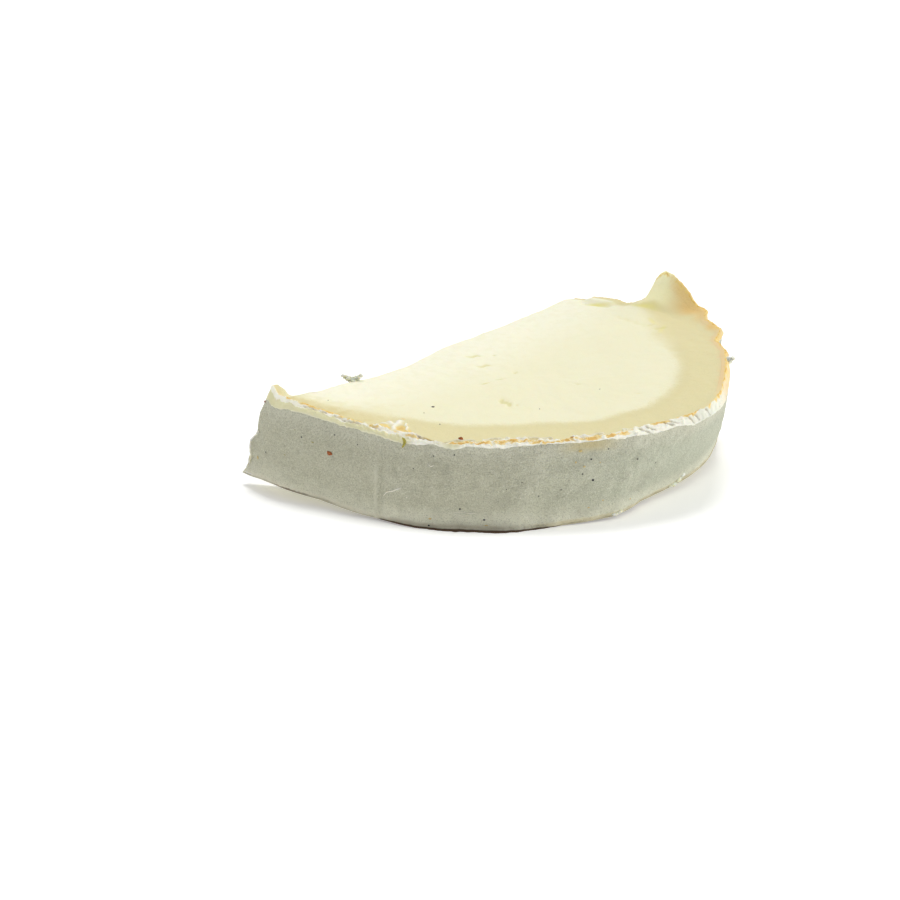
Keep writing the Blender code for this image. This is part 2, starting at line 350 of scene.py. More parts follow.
# %% [markdown]
# ## The paste as rings
# The top is a set of rings that shrink towards a hub, close together at the rim, where the relief is finest. The
# same outline then goes down the side in levels and comes back under the slice. Each point keeps how far in from the
# rind it lies, because the ripening that the finish shows starts there.

# %% Paste: rings and mesh
ARC_STEPS = 470
CUT_STEPS = 190
TOP_SHARES = np.concatenate([np.linspace(0.02, 0.7, 26)[:-1], np.linspace(0.7, 0.9, 18)[:-1],
                             np.linspace(0.9, 1.0, 22)[:-1]])
PASTE_LEVELS = np.concatenate([[0.0, 0.012, 0.03], np.linspace(0.06, 1.0, 26)])
BOTTOM_SHARES = [0.985, 0.94, 0.85, 0.72, 0.56, 0.35, 0.15]
CUT_ROUNDING = 0.5
OFF_ARC_INWARD = 40.0
OFF_ARC_RIPE = 4.0
RIPE_STATION = [-152, -145, -138, -132, -124, -114, -106, -95, -84, -76, -65, -60, -54, -46, -39, -32, -22, -11, 0,
                8, 20, 27, 35, 44, 50, 54, 66]
RIPE_WIDTH = [4.0, 4.4, 5.4, 6.8, 9.2, 11.3, 11.6, 12.4, 12.1, 13.0, 12.2, 11.2, 12.0, 11.8, 13.0, 12.3, 12.0, 11.7,
              12.1, 13.1, 14.0, 12.6, 10.0, 6.0, 4.5, 3.0, 2.0]


def paste_outlines():
    turn = np.linspace(TOP_HEADING[0], TOP_HEADING[-1], ARC_STEPS)
    shares = np.linspace(0.0, 1.0, CUT_STEPS + 2)[1:-1]
    inset = np.minimum(edge_width(turn), np.interp(turn, [-152, -147, -143], [0.5, 1.2, 2.5]))
    top = np.concatenate([rim_line(turn, inset), cut_line(shares, CUT_ALONG, CUT_OUT)])
    foot = np.concatenate([foot_line(turn, np.minimum(1.5, inset + 0.3)),
                           cut_line(shares, CUT_FOOT_ALONG, CUT_FOOT_OUT)])
    on_rind = np.concatenate([np.ones(ARC_STEPS), np.zeros(CUT_STEPS)])
    return top, foot, on_rind


def crumbly(points, on_rind, depth):
    crag = 0.9 * rough_over(points, 6.5, 4) + 0.45 * rough_over(points[:, [1, 2, 0]], 2.4)
    crag += 0.16 * rough_over(points, 0.9, 3, 19.0)
    fade = (1.0 - ramp(0.85, 1.0, depth)) * (1.0 - on_rind)
    moved = points.copy()
    moved[:, :2] += OUT_OF_CUT * (crag * fade)[:, None]
    moved[:, 2] += 0.25 * rough_over(points, 1.6, 3, 41.0) * ramp(0.0, 0.05, depth) * fade
    return moved


def paste_rings():
    top, foot, on_rind = paste_outlines()
    rings, kind = [], []
    for share in list(TOP_SHARES) + [1.0]:
        flat = inner_ring(top, share)
        ring = np.column_stack([flat, top_height(flat)])
        ring[:, 2] += paste_waves(ring) - pits(ring)
        ring[:, 2] -= below_crust(ring)
        ring[:, 2] -= CUT_ROUNDING * ramp(0.985, 1.0, share) * (1.0 - on_rind)
        rings.append(ring)
        kind.append(np.zeros(len(ring)))
    # the outermost ring is made again as the first level of the side
    rim = rings.pop()
    kind.pop()
    foot_height = bottom_height(foot)
    for depth in PASTE_LEVELS:
        flat = rim[:, :2] + (foot - rim[:, :2]) * depth
        height = rim[:, 2] + (foot_height - rim[:, 2]) * depth
        rings.append(crumbly(np.column_stack([flat, height]), on_rind, depth))
        kind.append(np.full(len(flat), ramp(0.0, 0.03, depth)))
    for share in BOTTOM_SHARES:
        flat = inner_ring(foot, share)
        rings.append(np.column_stack([flat, bottom_height(flat)]))
        kind.append(np.ones(len(flat)))
    return rings, kind


def ripening(points):
    """How far in from the rind a point is, in millimetres and as a share of the ripe zone, and how near to the cut."""
    heading = heading_of(points)
    away = away_of(points)
    off_arc = (heading > 70.0) | (heading < -156.0)
    inward = np.where(off_arc, OFF_ARC_INWARD, rim_radius(heading) - edge_width(heading) - away)
    smooth = np.interp(heading, TOP_HEADING, TOP_RADIUS) - away
    ripe = np.where(off_arc, OFF_ARC_RIPE, smooth / np.interp(heading, RIPE_STATION, RIPE_WIDTH))
    back = ramp(-12.0, 12.0, (points[:, :2] - MIDDLE) @ OUT_OF_CUT)
    return {"inward": inward, "ripe": ripe, "heading": heading, "back": back}


def make_paste():
    rings, kind = paste_rings()
    top_hub = np.array([HUB[0], HUB[1], float(top_height(HUB[None, :])[0])])
    points, faces = stacked(rings, top_hub, np.array([HUB[0], HUB[1], 0.0]))
    side = np.concatenate([[0.0]] + kind + [[1.0]])
    numbers = ripening(points)
    numbers.update({"side": side, "pit": pits(points) * (1.0 - side)})
    return mesh_object("paste", points, faces, numbers)


paste = make_paste()

# %% [markdown]
# ## The rind
# The rind is a band a little under two millimetres thick that runs round the curved side. Its wall is soft and
# uneven: shallow dents where it was handled, fine wrinkles, and one upright crease. At the left end it stops in a
# thin edge with a step in it. The tables say where that edge steps, how far the wall bulges, and how wide the dark
# hem is that spreads on the table where the slice rests. That hem is a strip of painted shadow, for the shade there.

# %% Rind: relief of the wall
RIND_STEPS = 900
RIND_THICK = 1.6
WALL_LEVELS = 56
RINGS_ABOVE_WALL = 9
INNER_SINK = 0.7
CROWN_SINK = 0.35
WALL_END_HEIGHT = 0.14
SHADE_HEM_THICK = 0.09
SHADE_HEM_LEAST = 0.03
CREASE_HEADING = -117.6
END_DEPTH = [0.0, 0.12, 0.42, 0.46, 0.50, 0.62, 0.78, 0.90, 1.0]
END_TRAVEL = [0.0, 0.14, 0.21, 0.26, 0.40, 0.42, 0.48, 0.70, 1.0]
BULGE_HEADING = [-60, -30, -20, -4, 2, 6, 16, 24]
BULGE_SIZE = [0.9, 0.3, 0.95, 0.95, 0.0, -0.7, -0.7, 0.0]
SHADE_HEM_HEADING = [-114, -109, -104, -96, -88, -82, -77, -71]
SHADE_HEM_WIDTH = [0.03, 0.5, 1.1, 1.6, 1.7, 1.4, 0.9, 0.03]


def wall_relief(points, headings, depth):
    dents = 0.24 * rough_over(points, 9.0) + 0.12 * rough_over(points, 3.0)
    pressed = 0.4 * rough_over(points, 4.4, 2, 13.0) * between(-84.0, -48.0, 8.0, headings)
    wrinkles = 0.07 * rough_over(points, 1.1, 3, 23.0)
    slanted = 0.08 * rough_over(points @ np.array([[0.5, 0, 0.8], [0, 1, 0], [-0.8, 0, 0.25]]), 1.7, 2, 51.0)
    slanted *= between(-113.0, -98.0, 3.0, headings) * between(0.1, 0.55, 0.1, depth)
    line = CREASE_HEADING + 4.2 * depth
    crease = 0.3 * hill(headings, line, 0.5) - 0.16 * hill(headings, line + 1.3, 0.8)
    crease *= 0.3 + 0.7 * ramp(0.2, 0.5, depth)
    swirl = np.hypot((headings + 146.0) * 0.87, (depth + 0.35) * 17.0)
    arcs = 0.045 * np.sin(2.0 * np.pi * swirl / 0.85) * between(-146.0, -126.0, 5.0, headings)
    arcs *= 1.0 - ramp(0.12, 0.42, depth)
    curl = 0.5 * hill(headings, -152.0, 1.0) * between(0.52, 0.72, 0.05, depth)
    curl -= 0.45 * hill(headings, -152.0, 1.2) * hill(depth, 0.43, 0.07)
    relief = dents + pressed + wrinkles + slanted + crease + arcs + curl
    # the second value colours the wall: crests painted lighter and hollows darker as light and shade of the relief, and
    # the arcs, slants and crease drawn in as marks
    return relief, relief + 10.0 * arcs + 6.0 * slanted + crease


print("crease at heading", CREASE_HEADING)

# %% [markdown]
# ## Noise along the rim
# The cut edge of the rind wanders up and down a little. `along_rim` gives noise that follows the rim, so that the
# rind and the crust, which are separate meshes, agree on where the edge is.

# %% Rind: where its cut edge lies
def along_rim(headings, size, octaves=3, seed=0.0):
    line = rim_line(headings)
    return rough_over(np.column_stack([line, np.zeros(len(line))]), size, octaves, seed)


def rim_edge_height(headings):
    wander = 0.2 * along_rim(headings, 4.0, 3, 83.0) + 0.08 * along_rim(headings, 1.2, 2, 89.0)
    return top_height(rim_line(headings)) - edge_drop(headings) + wander


print("edge height at the front:", round(float(rim_edge_height(np.array([-90.0]))[0]), 1))

# %% [markdown]
# ## The rind as a closed band
# A thickness modifier on a curved sheet would be quicker, but its edges would all be alike. So the band is built
# from rings that run its length: up its inner side, over its cut edge, down the wall, out along the hem, a flap
# of painted shadow, and back underneath. Each ring also says how far down the wall it is, for the finish.

# %% Rind: rings and mesh
def rind_section(headings):
    """The rings of the rind: inner side, cut edge, wall and underside, with a share of depth for each."""
    rim, foot = rim_line(headings), foot_line(headings)
    outward = compass(headings)
    foot_z = bottom_height(foot)
    edge_z = rim_edge_height(headings)
    width = edge_width(headings)
    inner = rim_line(headings, width + 0.3)
    inner_z = top_height(inner) - INNER_SINK
    crown = rim_line(headings, width)
    crown_z = top_height(crown) - CROWN_SINK
    inner_foot = foot_line(headings, RIND_THICK)
    bulge_size = np.interp(headings, BULGE_HEADING, BULGE_SIZE)
    at_end = 1.0 - ramp(-152.0, -147.0, headings)
    rings, depths, marks_and_relief_shade = [], [], []

    def add(flat, height, depth, relief=0.0):
        rings.append(np.column_stack([flat, height]))
        depths.append(np.full(len(headings), depth))
        marks_and_relief_shade.append(relief + np.zeros(len(headings)))

    for share in (0.0, 0.3, 0.6, 0.85, 1.0):
        add(inner_foot + (inner - inner_foot) * share, foot_z + (inner_z - foot_z) * share, -1.0)
    for share in (0.0, 0.35, 0.7):
        add(crown + (rim - crown) * share, crown_z + (edge_z - crown_z) * share ** 1.3, 0.0)
    add(rim, edge_z, 0.0)
    for depth in np.linspace(0.0, 1.0, WALL_LEVELS + 1)[1:]:
        bulge = bulge_size * np.sin(np.pi * depth)
        travel = depth + (np.interp(depth, END_DEPTH, END_TRAVEL) - depth) * at_end
        flat = rim + (foot - rim) * travel[:, None] + outward * bulge[:, None]
        height = edge_z + (foot_z + WALL_END_HEIGHT - edge_z) * depth
        spots = np.column_stack([flat, height])
        moved, marks = wall_relief(spots, headings, depth)
        moved = moved * ramp(0.0, 0.08, depth)
        tuck = 0.2 * ramp(0.965, 1.0, depth) * (0.6 + 0.7 * along_rim(headings, 1.5, 3, 7.0))
        add(flat + outward * (moved - tuck)[:, None], height, depth, marks)
    # the hem: a thin flap on the table below the foot, coloured dark brown as painted shadow where the slice rests
    shade_hem = np.interp(headings, SHADE_HEM_HEADING, SHADE_HEM_WIDTH) * (1.0 + 0.35 * along_rim(headings, 3.0, 3, 33.0))
    for rise in (SHADE_HEM_THICK, 0.0):
        add(foot + outward * np.clip(shade_hem, SHADE_HEM_LEAST, None)[:, None], foot_z + rise, 1.0)
        depths[-1] = 1.0 + 0.2 * ramp(0.05, 0.3, shade_hem)
    for share in (0.4, 0.75):
        add(foot + (inner_foot - foot) * share, foot_z, 1.5)
    return np.stack(rings), np.stack(depths), np.stack(marks_and_relief_shade)


def banded(name, rings, numbers):
    """A closed band from rings that run its length: quads between them and a cap at each end."""
    levels, count = rings.shape[:2]
    faces = []
    for level in range(levels):
        start, above = level * count, ((level + 1) % levels) * count
        faces += [(start + k, above + k, above + k + 1, start + k + 1) for k in range(count - 1)]
    faces.append([level * count for level in range(levels)][::-1])
    faces.append([level * count + count - 1 for level in range(levels)])
    return mesh_object(name, rings.reshape(-1, 3), faces, {key: value.ravel() for key, value in numbers.items()})


rind_headings = np.linspace(TOP_HEADING[0], TOP_HEADING[-1], RIND_STEPS)
rind_rings, rind_depths, rind_marks_and_relief_shade = rind_section(rind_headings)
rind = banded("rind", rind_rings, {"depth": rind_depths, "marks_and_relief_shade": rind_marks_and_relief_shade,
                                   "heading": np.broadcast_to(rind_headings, rind_depths.shape)})

# %% [markdown]
# ## The crust on the rim
# Where the knife went through the rind, its cut edge broke into thin white flakes with orange between them. This
# is the part that looks most like real cheese, so it gets its own finely divided band, laid over the edge of the
# paste and lapping over the top of the wall. Its relief is ridged noise, stretched along the rim: one minus the
# size of the noise gives sharp crests, which read as the edges of flakes. Each point also keeps how orange and how
# yellow it is, because the stain lies in the hollows and the crests stay white. It also keeps how dark it is, which
# is painted shade in the gaps, the cracks and under flakes.

# %% Crust: how rough it is at each heading
CRUST_STEPS = 1500
CRUST_ACROSS = 36
CRUST_STATION = [-152, -140, -128, -119, -112, -104, -98, -90, -80, -70, -62, -50, -35, -20, 10, 30, 66]
CRUST_HEIGHT = [0.2, 0.35, 0.45, 0.7, 0.7, 0.7, 0.6, 0.8, 0.85, 0.75, 0.5, 0.35, 0.35, 0.2, 0.2, 0.2, 0.15]
STAIN_STATION = [-152, -148, -140, -125, -118, -108, -101, -97, -90, -84, -74, -68, -60, -45, -35, -20, 10, 28, 48, 66]
STAIN_AMOUNT = [0.2, 0.9, 0.9, 0.8, 0.9, 0.7, 0.7, 1.0, 1.0, 1.0, 0.95, 0.8, 0.8, 0.8, 0.8, 0.7, 0.7, 0.8, 0.2, 0.0]
WHITE_STROKES = [(-11.6, -39.2, 2.6, 1.0, -51), (-10.3, -38.9, 2.9, 1.1, 67), (-11.0, -41.3, 2.8, 0.8, -100),
                 (-8.6, -41.0, 3.9, 0.35, -85), (-8.2, -44.8, 4.5, 0.9, -25), (-13.8, -41.9, 2.6, 0.4, -22),
                 (-13.0, -39.6, 1.4, 0.4, -2)]
ORANGE_STROKES = [(-12.0, -36.6, 1.8, 0.7, 61), (-10.9, -35.6, 1.5, 0.7, 24), (-9.6, -36.0, 1.8, 0.7, -48),
                  (-7.4, -45.9, 3.2, 0.5, -30), (-14.7, -41.2, 1.8, 1.2, -39), (-13.3, -40.5, 1.8, 1.3, 10),
                  (-12.2, -41.6, 1.6, 1.0, -20)]
# The tan strokes are painted shade: the shaded back of the hollow where the big flake was torn up.
HOLLOW_SHADE_STROKES = [(-9.8, -41.9, 1.9, 3.6, 8), (-8.5, -43.2, 1.6, 1.6, -20)]
CRACKS = [(-56.4, 0.30), (-54.6, 0.22), (-50.2, 0.34), (-48.9, 0.2), (-44.6, 0.32), (-42.6, 0.26), (-39.0, 0.3)]


def ridged(along, across, size_along, size_across, seed):
    spots = np.column_stack([along / size_along + seed, across / size_across, np.full(len(along), seed)])
    return (1.0 - np.minimum(1.0, 2.4 * np.abs(rough_over(spots, 1.0, 2)))) ** 2.0


def strokes(points, table):
    """One where a point lies in any stroke of the table, fading to nought at its ragged edge."""
    found = np.zeros(len(points))
    for x, y, length, width, turn in table:
        along, across = turned(points, x, y, turn)
        across = across + 0.15 * np.sin(2.6 * along + x)
        found = np.maximum(found, np.exp(-((along / (0.6 * length)) ** 4 + (across / (0.55 * width)) ** 2)))
    return found


print("crust stations:", len(CRUST_STATION))

# %% [markdown]
# ## What the crust does at each point
# A point is known by its heading and by its share of the way in from the rim. At the front the crust is a bank that
# faces out, elsewhere a thin lip. On top of it come flakes, thin sheets that stand on the paste, gaps, cracks and a
# few strokes that are placed one by one where one big flake was torn up.

# %% Crust: relief and colour amounts
def crust_surface(headings, inset, width):
    line = rim_line(headings, inset)
    spots = np.column_stack([line, np.zeros(len(line))])
    along = headings * 0.88
    row = np.column_stack([along, along * 0, along * 0])
    across = inset + 0.3 * rough_over(spots, 2.6, 3, 61.0) + 0.2 * rough_over(spots, 0.8, 2, 67.0)
    share = np.clip(across / width, -0.2, 3.0)
    front = between(-99.0, -62.0, 4.0, headings)
    left = 1.0 - ramp(-112.0, -108.5, headings)
    far_side = ramp(-30.0, -18.0, headings)
    long_flakes = ridged(along, across, 3.2, 0.8, 5.0)
    short_flakes = ridged(along, across, 1.3, 0.45, 17.0)
    torn = ramp(-0.25, 0.2, rough_over(row, 1.9, 2, 29.0))
    height = np.interp(headings, CRUST_STATION, CRUST_HEIGHT)
    zone = ramp(-0.15, 0.2, share) * (1.0 - ramp(1.1, 1.4, share))
    bank = 0.6 * front * ramp(0.0, 0.8, share) * (1.0 - ramp(0.9, 1.2, share)) * (0.7 + 0.5 * torn)
    lip = hill(share, 0.16, 0.2) * (0.5 + 0.5 * torn) * (1.0 - 0.85 * front)
    wander = rough_over(row, 6.0, 3, 47.0)
    sheet = hill(across, width + 0.5 + 0.9 * wander, 0.22) * ramp(-0.3, -0.1, rough_over(row, 5.0, 2, 53.0))
    sheet *= front + 0.6 * between(-62.0, -52.0, 3.0, headings)
    flakes = zone * (0.7 * long_flakes * (0.4 + 0.6 * torn) + 0.35 * (short_flakes - 0.4))
    relief = height * (0.5 * lip + bank + flakes * (1.0 - 0.45 * front))
    relief += (0.4 + 0.3 * front) * sheet + 0.07 * rough_over(spots, 0.7, 3, 37.0) * zone
    gap = between(-108.5, -102.0, 1.2, headings) * hill(across, 0.95 * width, 0.3)
    gap = np.maximum(gap, 0.8 * between(-140.0, -134.5, 1.0, headings) * hill(share, 0.72, 0.1))
    gap = np.maximum(gap, 0.8 * between(-131.5, -119.0, 1.5, headings) * hill(share, 0.66, 0.09))
    cracks = np.zeros(len(headings))
    for heading, wide in CRACKS:
        cracks = np.maximum(cracks, hill(headings + 1.5 * share, heading + 1.0, wide))
    cracks *= between(0.1, 0.85, 0.1, share)
    # tan marks the crater's hollow: painted shade, orange-tan and a little dark
    white, orange, tan = strokes(spots, WHITE_STROKES), strokes(spots, ORANGE_STROKES), strokes(spots, HOLLOW_SHADE_STROKES)
    relief += 0.4 * white + 0.2 * orange + 0.08 * tan - 0.3 * gap - 0.35 * cracks
    # from here on, the amounts of each colour
    amount = np.interp(headings, STAIN_STATION, STAIN_AMOUNT)
    thin_line = hill(share, 1.02, 0.2) * (1.0 - front)
    lowest = 0.4 - 0.22 * between(-84.0, -68.0, 4.0, headings) + 0.16 * rough_over(row, 2.2, 2, 91.0)
    highest = 0.82 + 0.25 * rough_over(row, 3.4, 2, 99.0)
    wide_band = between(lowest, highest, 0.16, share) * front * (1.1 - 0.8 * ramp(0.55, 0.85, long_flakes))
    patchy = 0.68 + 1.7 * rough_over(spots * [0.6, 1.0, 1.0], 1.7, 3, 43.0)
    all_over = between(-0.3, 1.4, 0.3, share) * far_side * (0.5 + 0.5 * rough_over(spots, 1.6, 2, 71.0))
    stain = np.clip(amount * (patchy * (thin_line + wide_band) + all_over) + 0.75 * orange + 0.85 * tan, 0.0, 1.0)
    stain = np.clip(stain - 1.3 * white - sheet, 0.0, 1.0)
    straw = np.clip(ramp(0.95, 1.2, share) + ramp(-16.0, -6.0, headings) - 1.2 * white - 0.8 * sheet, 0.0, 1.0)
    butter = left * (1.0 - ramp(0.46, 0.52, share + 0.3 * rough_over(row, 5.0, 3, 97.0))) * (1.0 - white)
    butter = np.maximum(butter, hill(headings, -100.0, 2.6) * (1.0 - ramp(0.1, 0.25, share)))
    # painted shade: dark in the cracks, the gaps, the crater's hollow, behind the bank and under the standing sheets
    dark = np.maximum(np.maximum(cracks * 0.7, tan * 0.12 * (1.0 - white)), gap * 0.85)
    dark = np.maximum(dark, 0.3 * hill(across, width + 0.85, 0.16) * front * (1.0 - torn))
    dark = np.maximum(dark, 0.2 * sheet * front)
    return relief, stain, straw, butter, dark


print("crust stations for stain:", len(STAIN_STATION))

# %% [markdown]
# ## The crust as a band
# The crust starts under the paste, comes up through it, follows the bevelled edge outwards and laps over the top of
# the wall, so that no gap can show between the three meshes.

# %% Crust: rings and mesh
CRUST_SINK = 0.9
LIFT_OFF_PASTE = 0.02


def crust_section(headings):
    width = edge_width(headings)
    margin = 1.5 + 6.0 * np.exp(-((headings + 115.8) / 4.8) ** 4)
    edge_z = rim_edge_height(headings)
    outward = compass(headings)
    lap = 0.25 + 0.34 * along_rim(headings, 2.2, 3, 7.0) + 0.16 * along_rim(headings, 0.8, 2, 17.0)
    lap = np.clip(lap, 0.06, 0.6) * (1.0 - 0.5 * between(-96.0, -64.0, 4.0, headings))
    lap += 1.05 * hill(headings, -100.2, 2.1) - 0.6 * lap * hill(headings, -49.5, 3.0)
    rings, numbers = [], []

    def add(flat, height, values):
        rings.append(np.column_stack([flat, height]))
        numbers.append(values)

    plain = [np.zeros(len(headings))] * 4
    inner = rim_line(headings, width + margin)
    add(inner, top_height(inner) - CRUST_SINK, plain)
    for share in np.linspace(0.0, 1.0, CRUST_ACROSS):
        inset = (width + margin) * (1.0 - share) - 0.06 * share
        flat = rim_line(headings, inset)
        on_edge = np.clip(1.0 - inset / width, 0.0, 1.0) ** 1.3
        crown_z = top_height(flat) + paste_waves(np.column_stack([flat, inset * 0.0]))
        height = crown_z * (1.0 - on_edge) + edge_z * on_edge
        relief, stain, straw, butter, dark = crust_surface(headings, inset, width)
        height = height + relief + LIFT_OFF_PASTE - 0.12 * (1.0 - ramp(0.0, 0.25, share))
        push = 0.35 * np.clip(relief, 0.0, 0.6) * ramp(0.3, 0.8, share)
        add(flat + outward * push[:, None], height, [stain, straw, butter, dark])
    outer = [value * 0.6 for value in numbers[-1]]
    add(rim_line(headings, -0.14), edge_z - 0.6 * lap, outer)
    # painted shade: a dark line under the lap, at the left
    under = outer[:3] + [outer[3] + 0.35 * (1.0 - ramp(-106.0, -98.0, headings))]
    add(rim_line(headings, -0.06), edge_z - lap, under)
    add(rim_line(headings, 0.25), edge_z - lap - 0.1, under)
    add(rim_line(headings, 0.6 * width), edge_z - 0.5, plain)
    table = {key: np.stack([entry[k] for entry in numbers]) for k, key in
             enumerate(("stain", "straw", "butter", "dark"))}
    return np.stack(rings), table


crust_rings, crust_numbers = crust_section(np.linspace(TOP_HEADING[0], TOP_HEADING[-1], CRUST_STEPS))
crust_numbers.update(ripening(crust_rings.reshape(-1, 3)))
crust = banded("rim_crust", crust_rings, crust_numbers)

# %% [markdown]
# ## Specks, flecks and threads on the rind
# Small things stick to a soft rind: dark dust specks, a few rusty crumbs, a green one on the rim, and pale threads
# of mould. A texture could draw them, but they are only a few pixels wide, so real little pebbles pressed half into
# the surface stay sharper. A pebble is an icosphere, squashed and roughened. A place on the wall is given by its
# heading and by how far down the wall it is, then the speck's half width and, if it isn't round, half height.

# %% Specks: places and pebbles
def on_wall(heading, depth, proud=0.0):
    """A point of the wall and its outward direction, read from the rings of the rind."""
    k = int(np.clip(np.searchsorted(rind_headings, heading), 1, RIND_STEPS - 2))
    level = int(round(RINGS_ABOVE_WALL + np.clip(depth, 0.0, 1.0) * WALL_LEVELS)) - 1
    out = np.append(compass(np.array([heading]))[0], 0.0)
    return rind_rings[level, k] + out * proud, out


def on_top(x, y, proud=0.0):
    flat = np.array([[x, y]])
    spot = np.array([[x, y, 0.0]])
    height = top_height(flat)[0] + paste_waves(spot)[0] - pits(spot)[0]
    return np.array([x, y, height + proud]), np.array([0.0, 0.0, 1.0])


def ball(level):
    mesh = bmesh.new()
    bmesh.ops.create_icosphere(mesh, subdivisions=level, radius=1.0)
    points = np.array([vertex.co[:] for vertex in mesh.verts])
    faces = [[vertex.index for vertex in face.verts] for face in mesh.faces]
    mesh.free()
    return points, faces


def pebble(place, out, size, seed, level=2, rough_size=0.7):
    """A rough squashed ball: size holds its half width along the surface, across it, and its thickness."""
    points, faces = ball(level)
    across = np.cross(out, [0.0, 0.0, 1.0]) if abs(out[2]) < 0.9 else np.array([1.0, 0.0, 0.0])
    across = across / np.linalg.norm(across)
    up = np.cross(out, across)
    points = points * (1.0 + 0.35 * rough_over(points + seed, rough_size, 2))[:, None]
    placed = place + np.outer(points[:, 0] * size[0], across) + np.outer(points[:, 1] * size[1], up)
    return placed + np.outer(points[:, 2] * size[2], out), faces


def joined(name, parts):
    points, faces, base = [], [], 0
    for part_points, part_faces in parts:
        points.append(part_points)
        faces += [tuple(index + base for index in face) for face in part_faces]
        base += len(part_points)
    return mesh_object(name, np.concatenate(points), faces)


print("points of a ball:", len(ball(2)[0]))

# %% Specks: dark, rusty, yellow and green
DARK_SPECKS = [(-136.9, 0.28, 0.16), (-129.4, 0.14, 0.14), (-144.7, 0.60, 0.15), (-95.2, 0.75, 0.18),
               (-89.3, 0.88, 0.20), (-101.3, 0.985, 0.18), (-67.0, 0.47, 0.24), (-68.1, 0.21, 0.17),
               (-69.7, 0.37, 0.15), (-64.6, 0.12, 0.12), (-82.7, 0.42, 0.11), (-103.7, 0.14, 0.12), (-78.3, 0.60, 0.12),
               (-99.0, 0.10, 0.13), (-73.6, 0.55, 0.11), (-57.0, 0.30, 0.14), (-51.0, 0.42, 0.12),
               (-107.5, 0.30, 0.10), (-122.5, 0.18, 0.11), (-86.0, 0.50, 0.10)]
TOP_SPECKS = [(-3.4, -28.7, 0.32), (-2.0, -38.6, 0.12), (18.0, -30.0, 0.08), (-24.5, -28.5, 0.09), (30.5, -20.0, 0.08)]
RUSTY_SPECKS = [(-129.1, 0.37, 0.74, 0.42), (-151.4, 0.04, 0.30, 0.26)]
RUSTY_CRUST = [(-98.3, 2.0, 0.7, 0.5, 0.35), (-71.9, 1.3, 0.5, 1.0, 0.32)]
YELLOW_SPECKS = [(-147.0, 0.72, 0.30, 0.34), (-70.9, 0.10, 0.42, 0.26), (-101.2, 0.90, 0.30, 0.20),
                 (-88.6, 0.94, 0.42, 0.12), (-66.1, 0.27, 0.13, 0.13),
                 (-71.5, 0.24, 0.22, 0.20), (-69.6, 0.28, 0.26, 0.18), (-63.2, 0.75, 0.24, 0.16),
                 (-66.0, 0.82, 0.28, 0.12), (-55.0, 0.84, 0.20, 0.15)]
GREEN_SPECKS = [(-139.2, 0.24, 0.22, 0.07), (-134.0, 0.30, 0.45, 0.07), (-139.6, 0.58, 0.28, 0.06)]


def wall_specks(table):
    parts = []
    for number, row in enumerate(table):
        heading, depth, wide = row[:3]
        tall = row[3] if len(row) > 3 else 0.9 * wide
        place, out = on_wall(heading, depth, 0.02)
        grown = 1.0 if len(row) > 3 else 1.15
        size = (grown * wide, grown * tall, 0.3 * min(wide, tall) + 0.04)
        parts.append(pebble(place, out, size, number * 3.7))
    return parts


dark_parts = wall_specks(DARK_SPECKS)
for number, (x, y, size) in enumerate(TOP_SPECKS):
    place, out = on_top(x, y, 0.03)
    dark_parts.append(pebble(place, out, (size, size, 0.1), 50.0 + number))
dark_specks = joined("dark_specks", dark_parts)
rusty_parts = wall_specks(RUSTY_SPECKS)
for number, (heading, inset, proud, wide, tall) in enumerate(RUSTY_CRUST):
    flat = rim_line(np.array([heading]), inset)[0]
    place, _ = on_top(flat[0], flat[1], proud)
    out = np.append(compass(np.array([heading]))[0] * 0.7, 0.7)
    rusty_parts.append(pebble(place, out, (wide, tall, 0.4), 70.0 + number))
rusty_specks = joined("rusty_specks", rusty_parts)
yellow_specks = joined("yellow_specks", wall_specks(YELLOW_SPECKS))
green_parts = wall_specks(GREEN_SPECKS)
place, out = on_top(-5.2, -32.3, 0.02)
green_parts.append(pebble(place, out, (0.14, 0.14, 0.06), 91.0))

# %% [markdown]
# ## Threads of mould
# A thread is a tapered tube that follows a few points of the wall. A bevelled curve would do the same, but the tube
# is made here ring by ring, so that its ends are closed. The green fleck on the rim is a short, thick one.

# %% Threads: tapered tubes through a few points of the wall
THREAD_SIDES = 7
THREAD_STEPS = 14
THREADS = [
    ([(-151.0, 0.43), (-151.5, 0.42), (-151.9, 0.45), (-151.9, 0.52)], 0.15, 0.42),
    ([(-151.6, 0.48), (-151.9, 0.52), (-151.9, 0.60), (-151.8, 0.74), (-151.9, 0.88)], 0.0, 0.22),
    ([(-151.9, 0.88), (-151.9, 0.98), (-149.0, 0.99), (-146.0, 0.985)], 0.0, 0.14),
    ([(-113.0, 0.69), (-112.4, 0.63), (-111.2, 0.60), (-110.2, 0.58), (-109.3, 0.55)], 0.05, 0.14),
    ([(-107.6, 0.66), (-107.4, 0.655), (-107.2, 0.66)], 0.05, 0.14),
    ([(-96.5, 0.80), (-94.6, 0.79), (-92.8, 0.80), (-91.2, 0.79)], 0.05, 0.07),
    ([(-95.8, 0.83), (-94.2, 0.84), (-92.6, 0.83)], 0.05, 0.06),
    ([(-104.6, 0.24), (-103.6, 0.27), (-103.2, 0.25)], 0.05, 0.08),
    ([(-82.8, 0.60), (-82.6, 0.605), (-82.3, 0.60)], 0.05, 0.13),
]
FLECK = [(-111.9, 0.0), (-111.5, 0.02), (-111.0, 0.05), (-110.8, 0.09), (-111.1, 0.12)]
FLECK_RISE = [0.0, 0.0, 1.25]


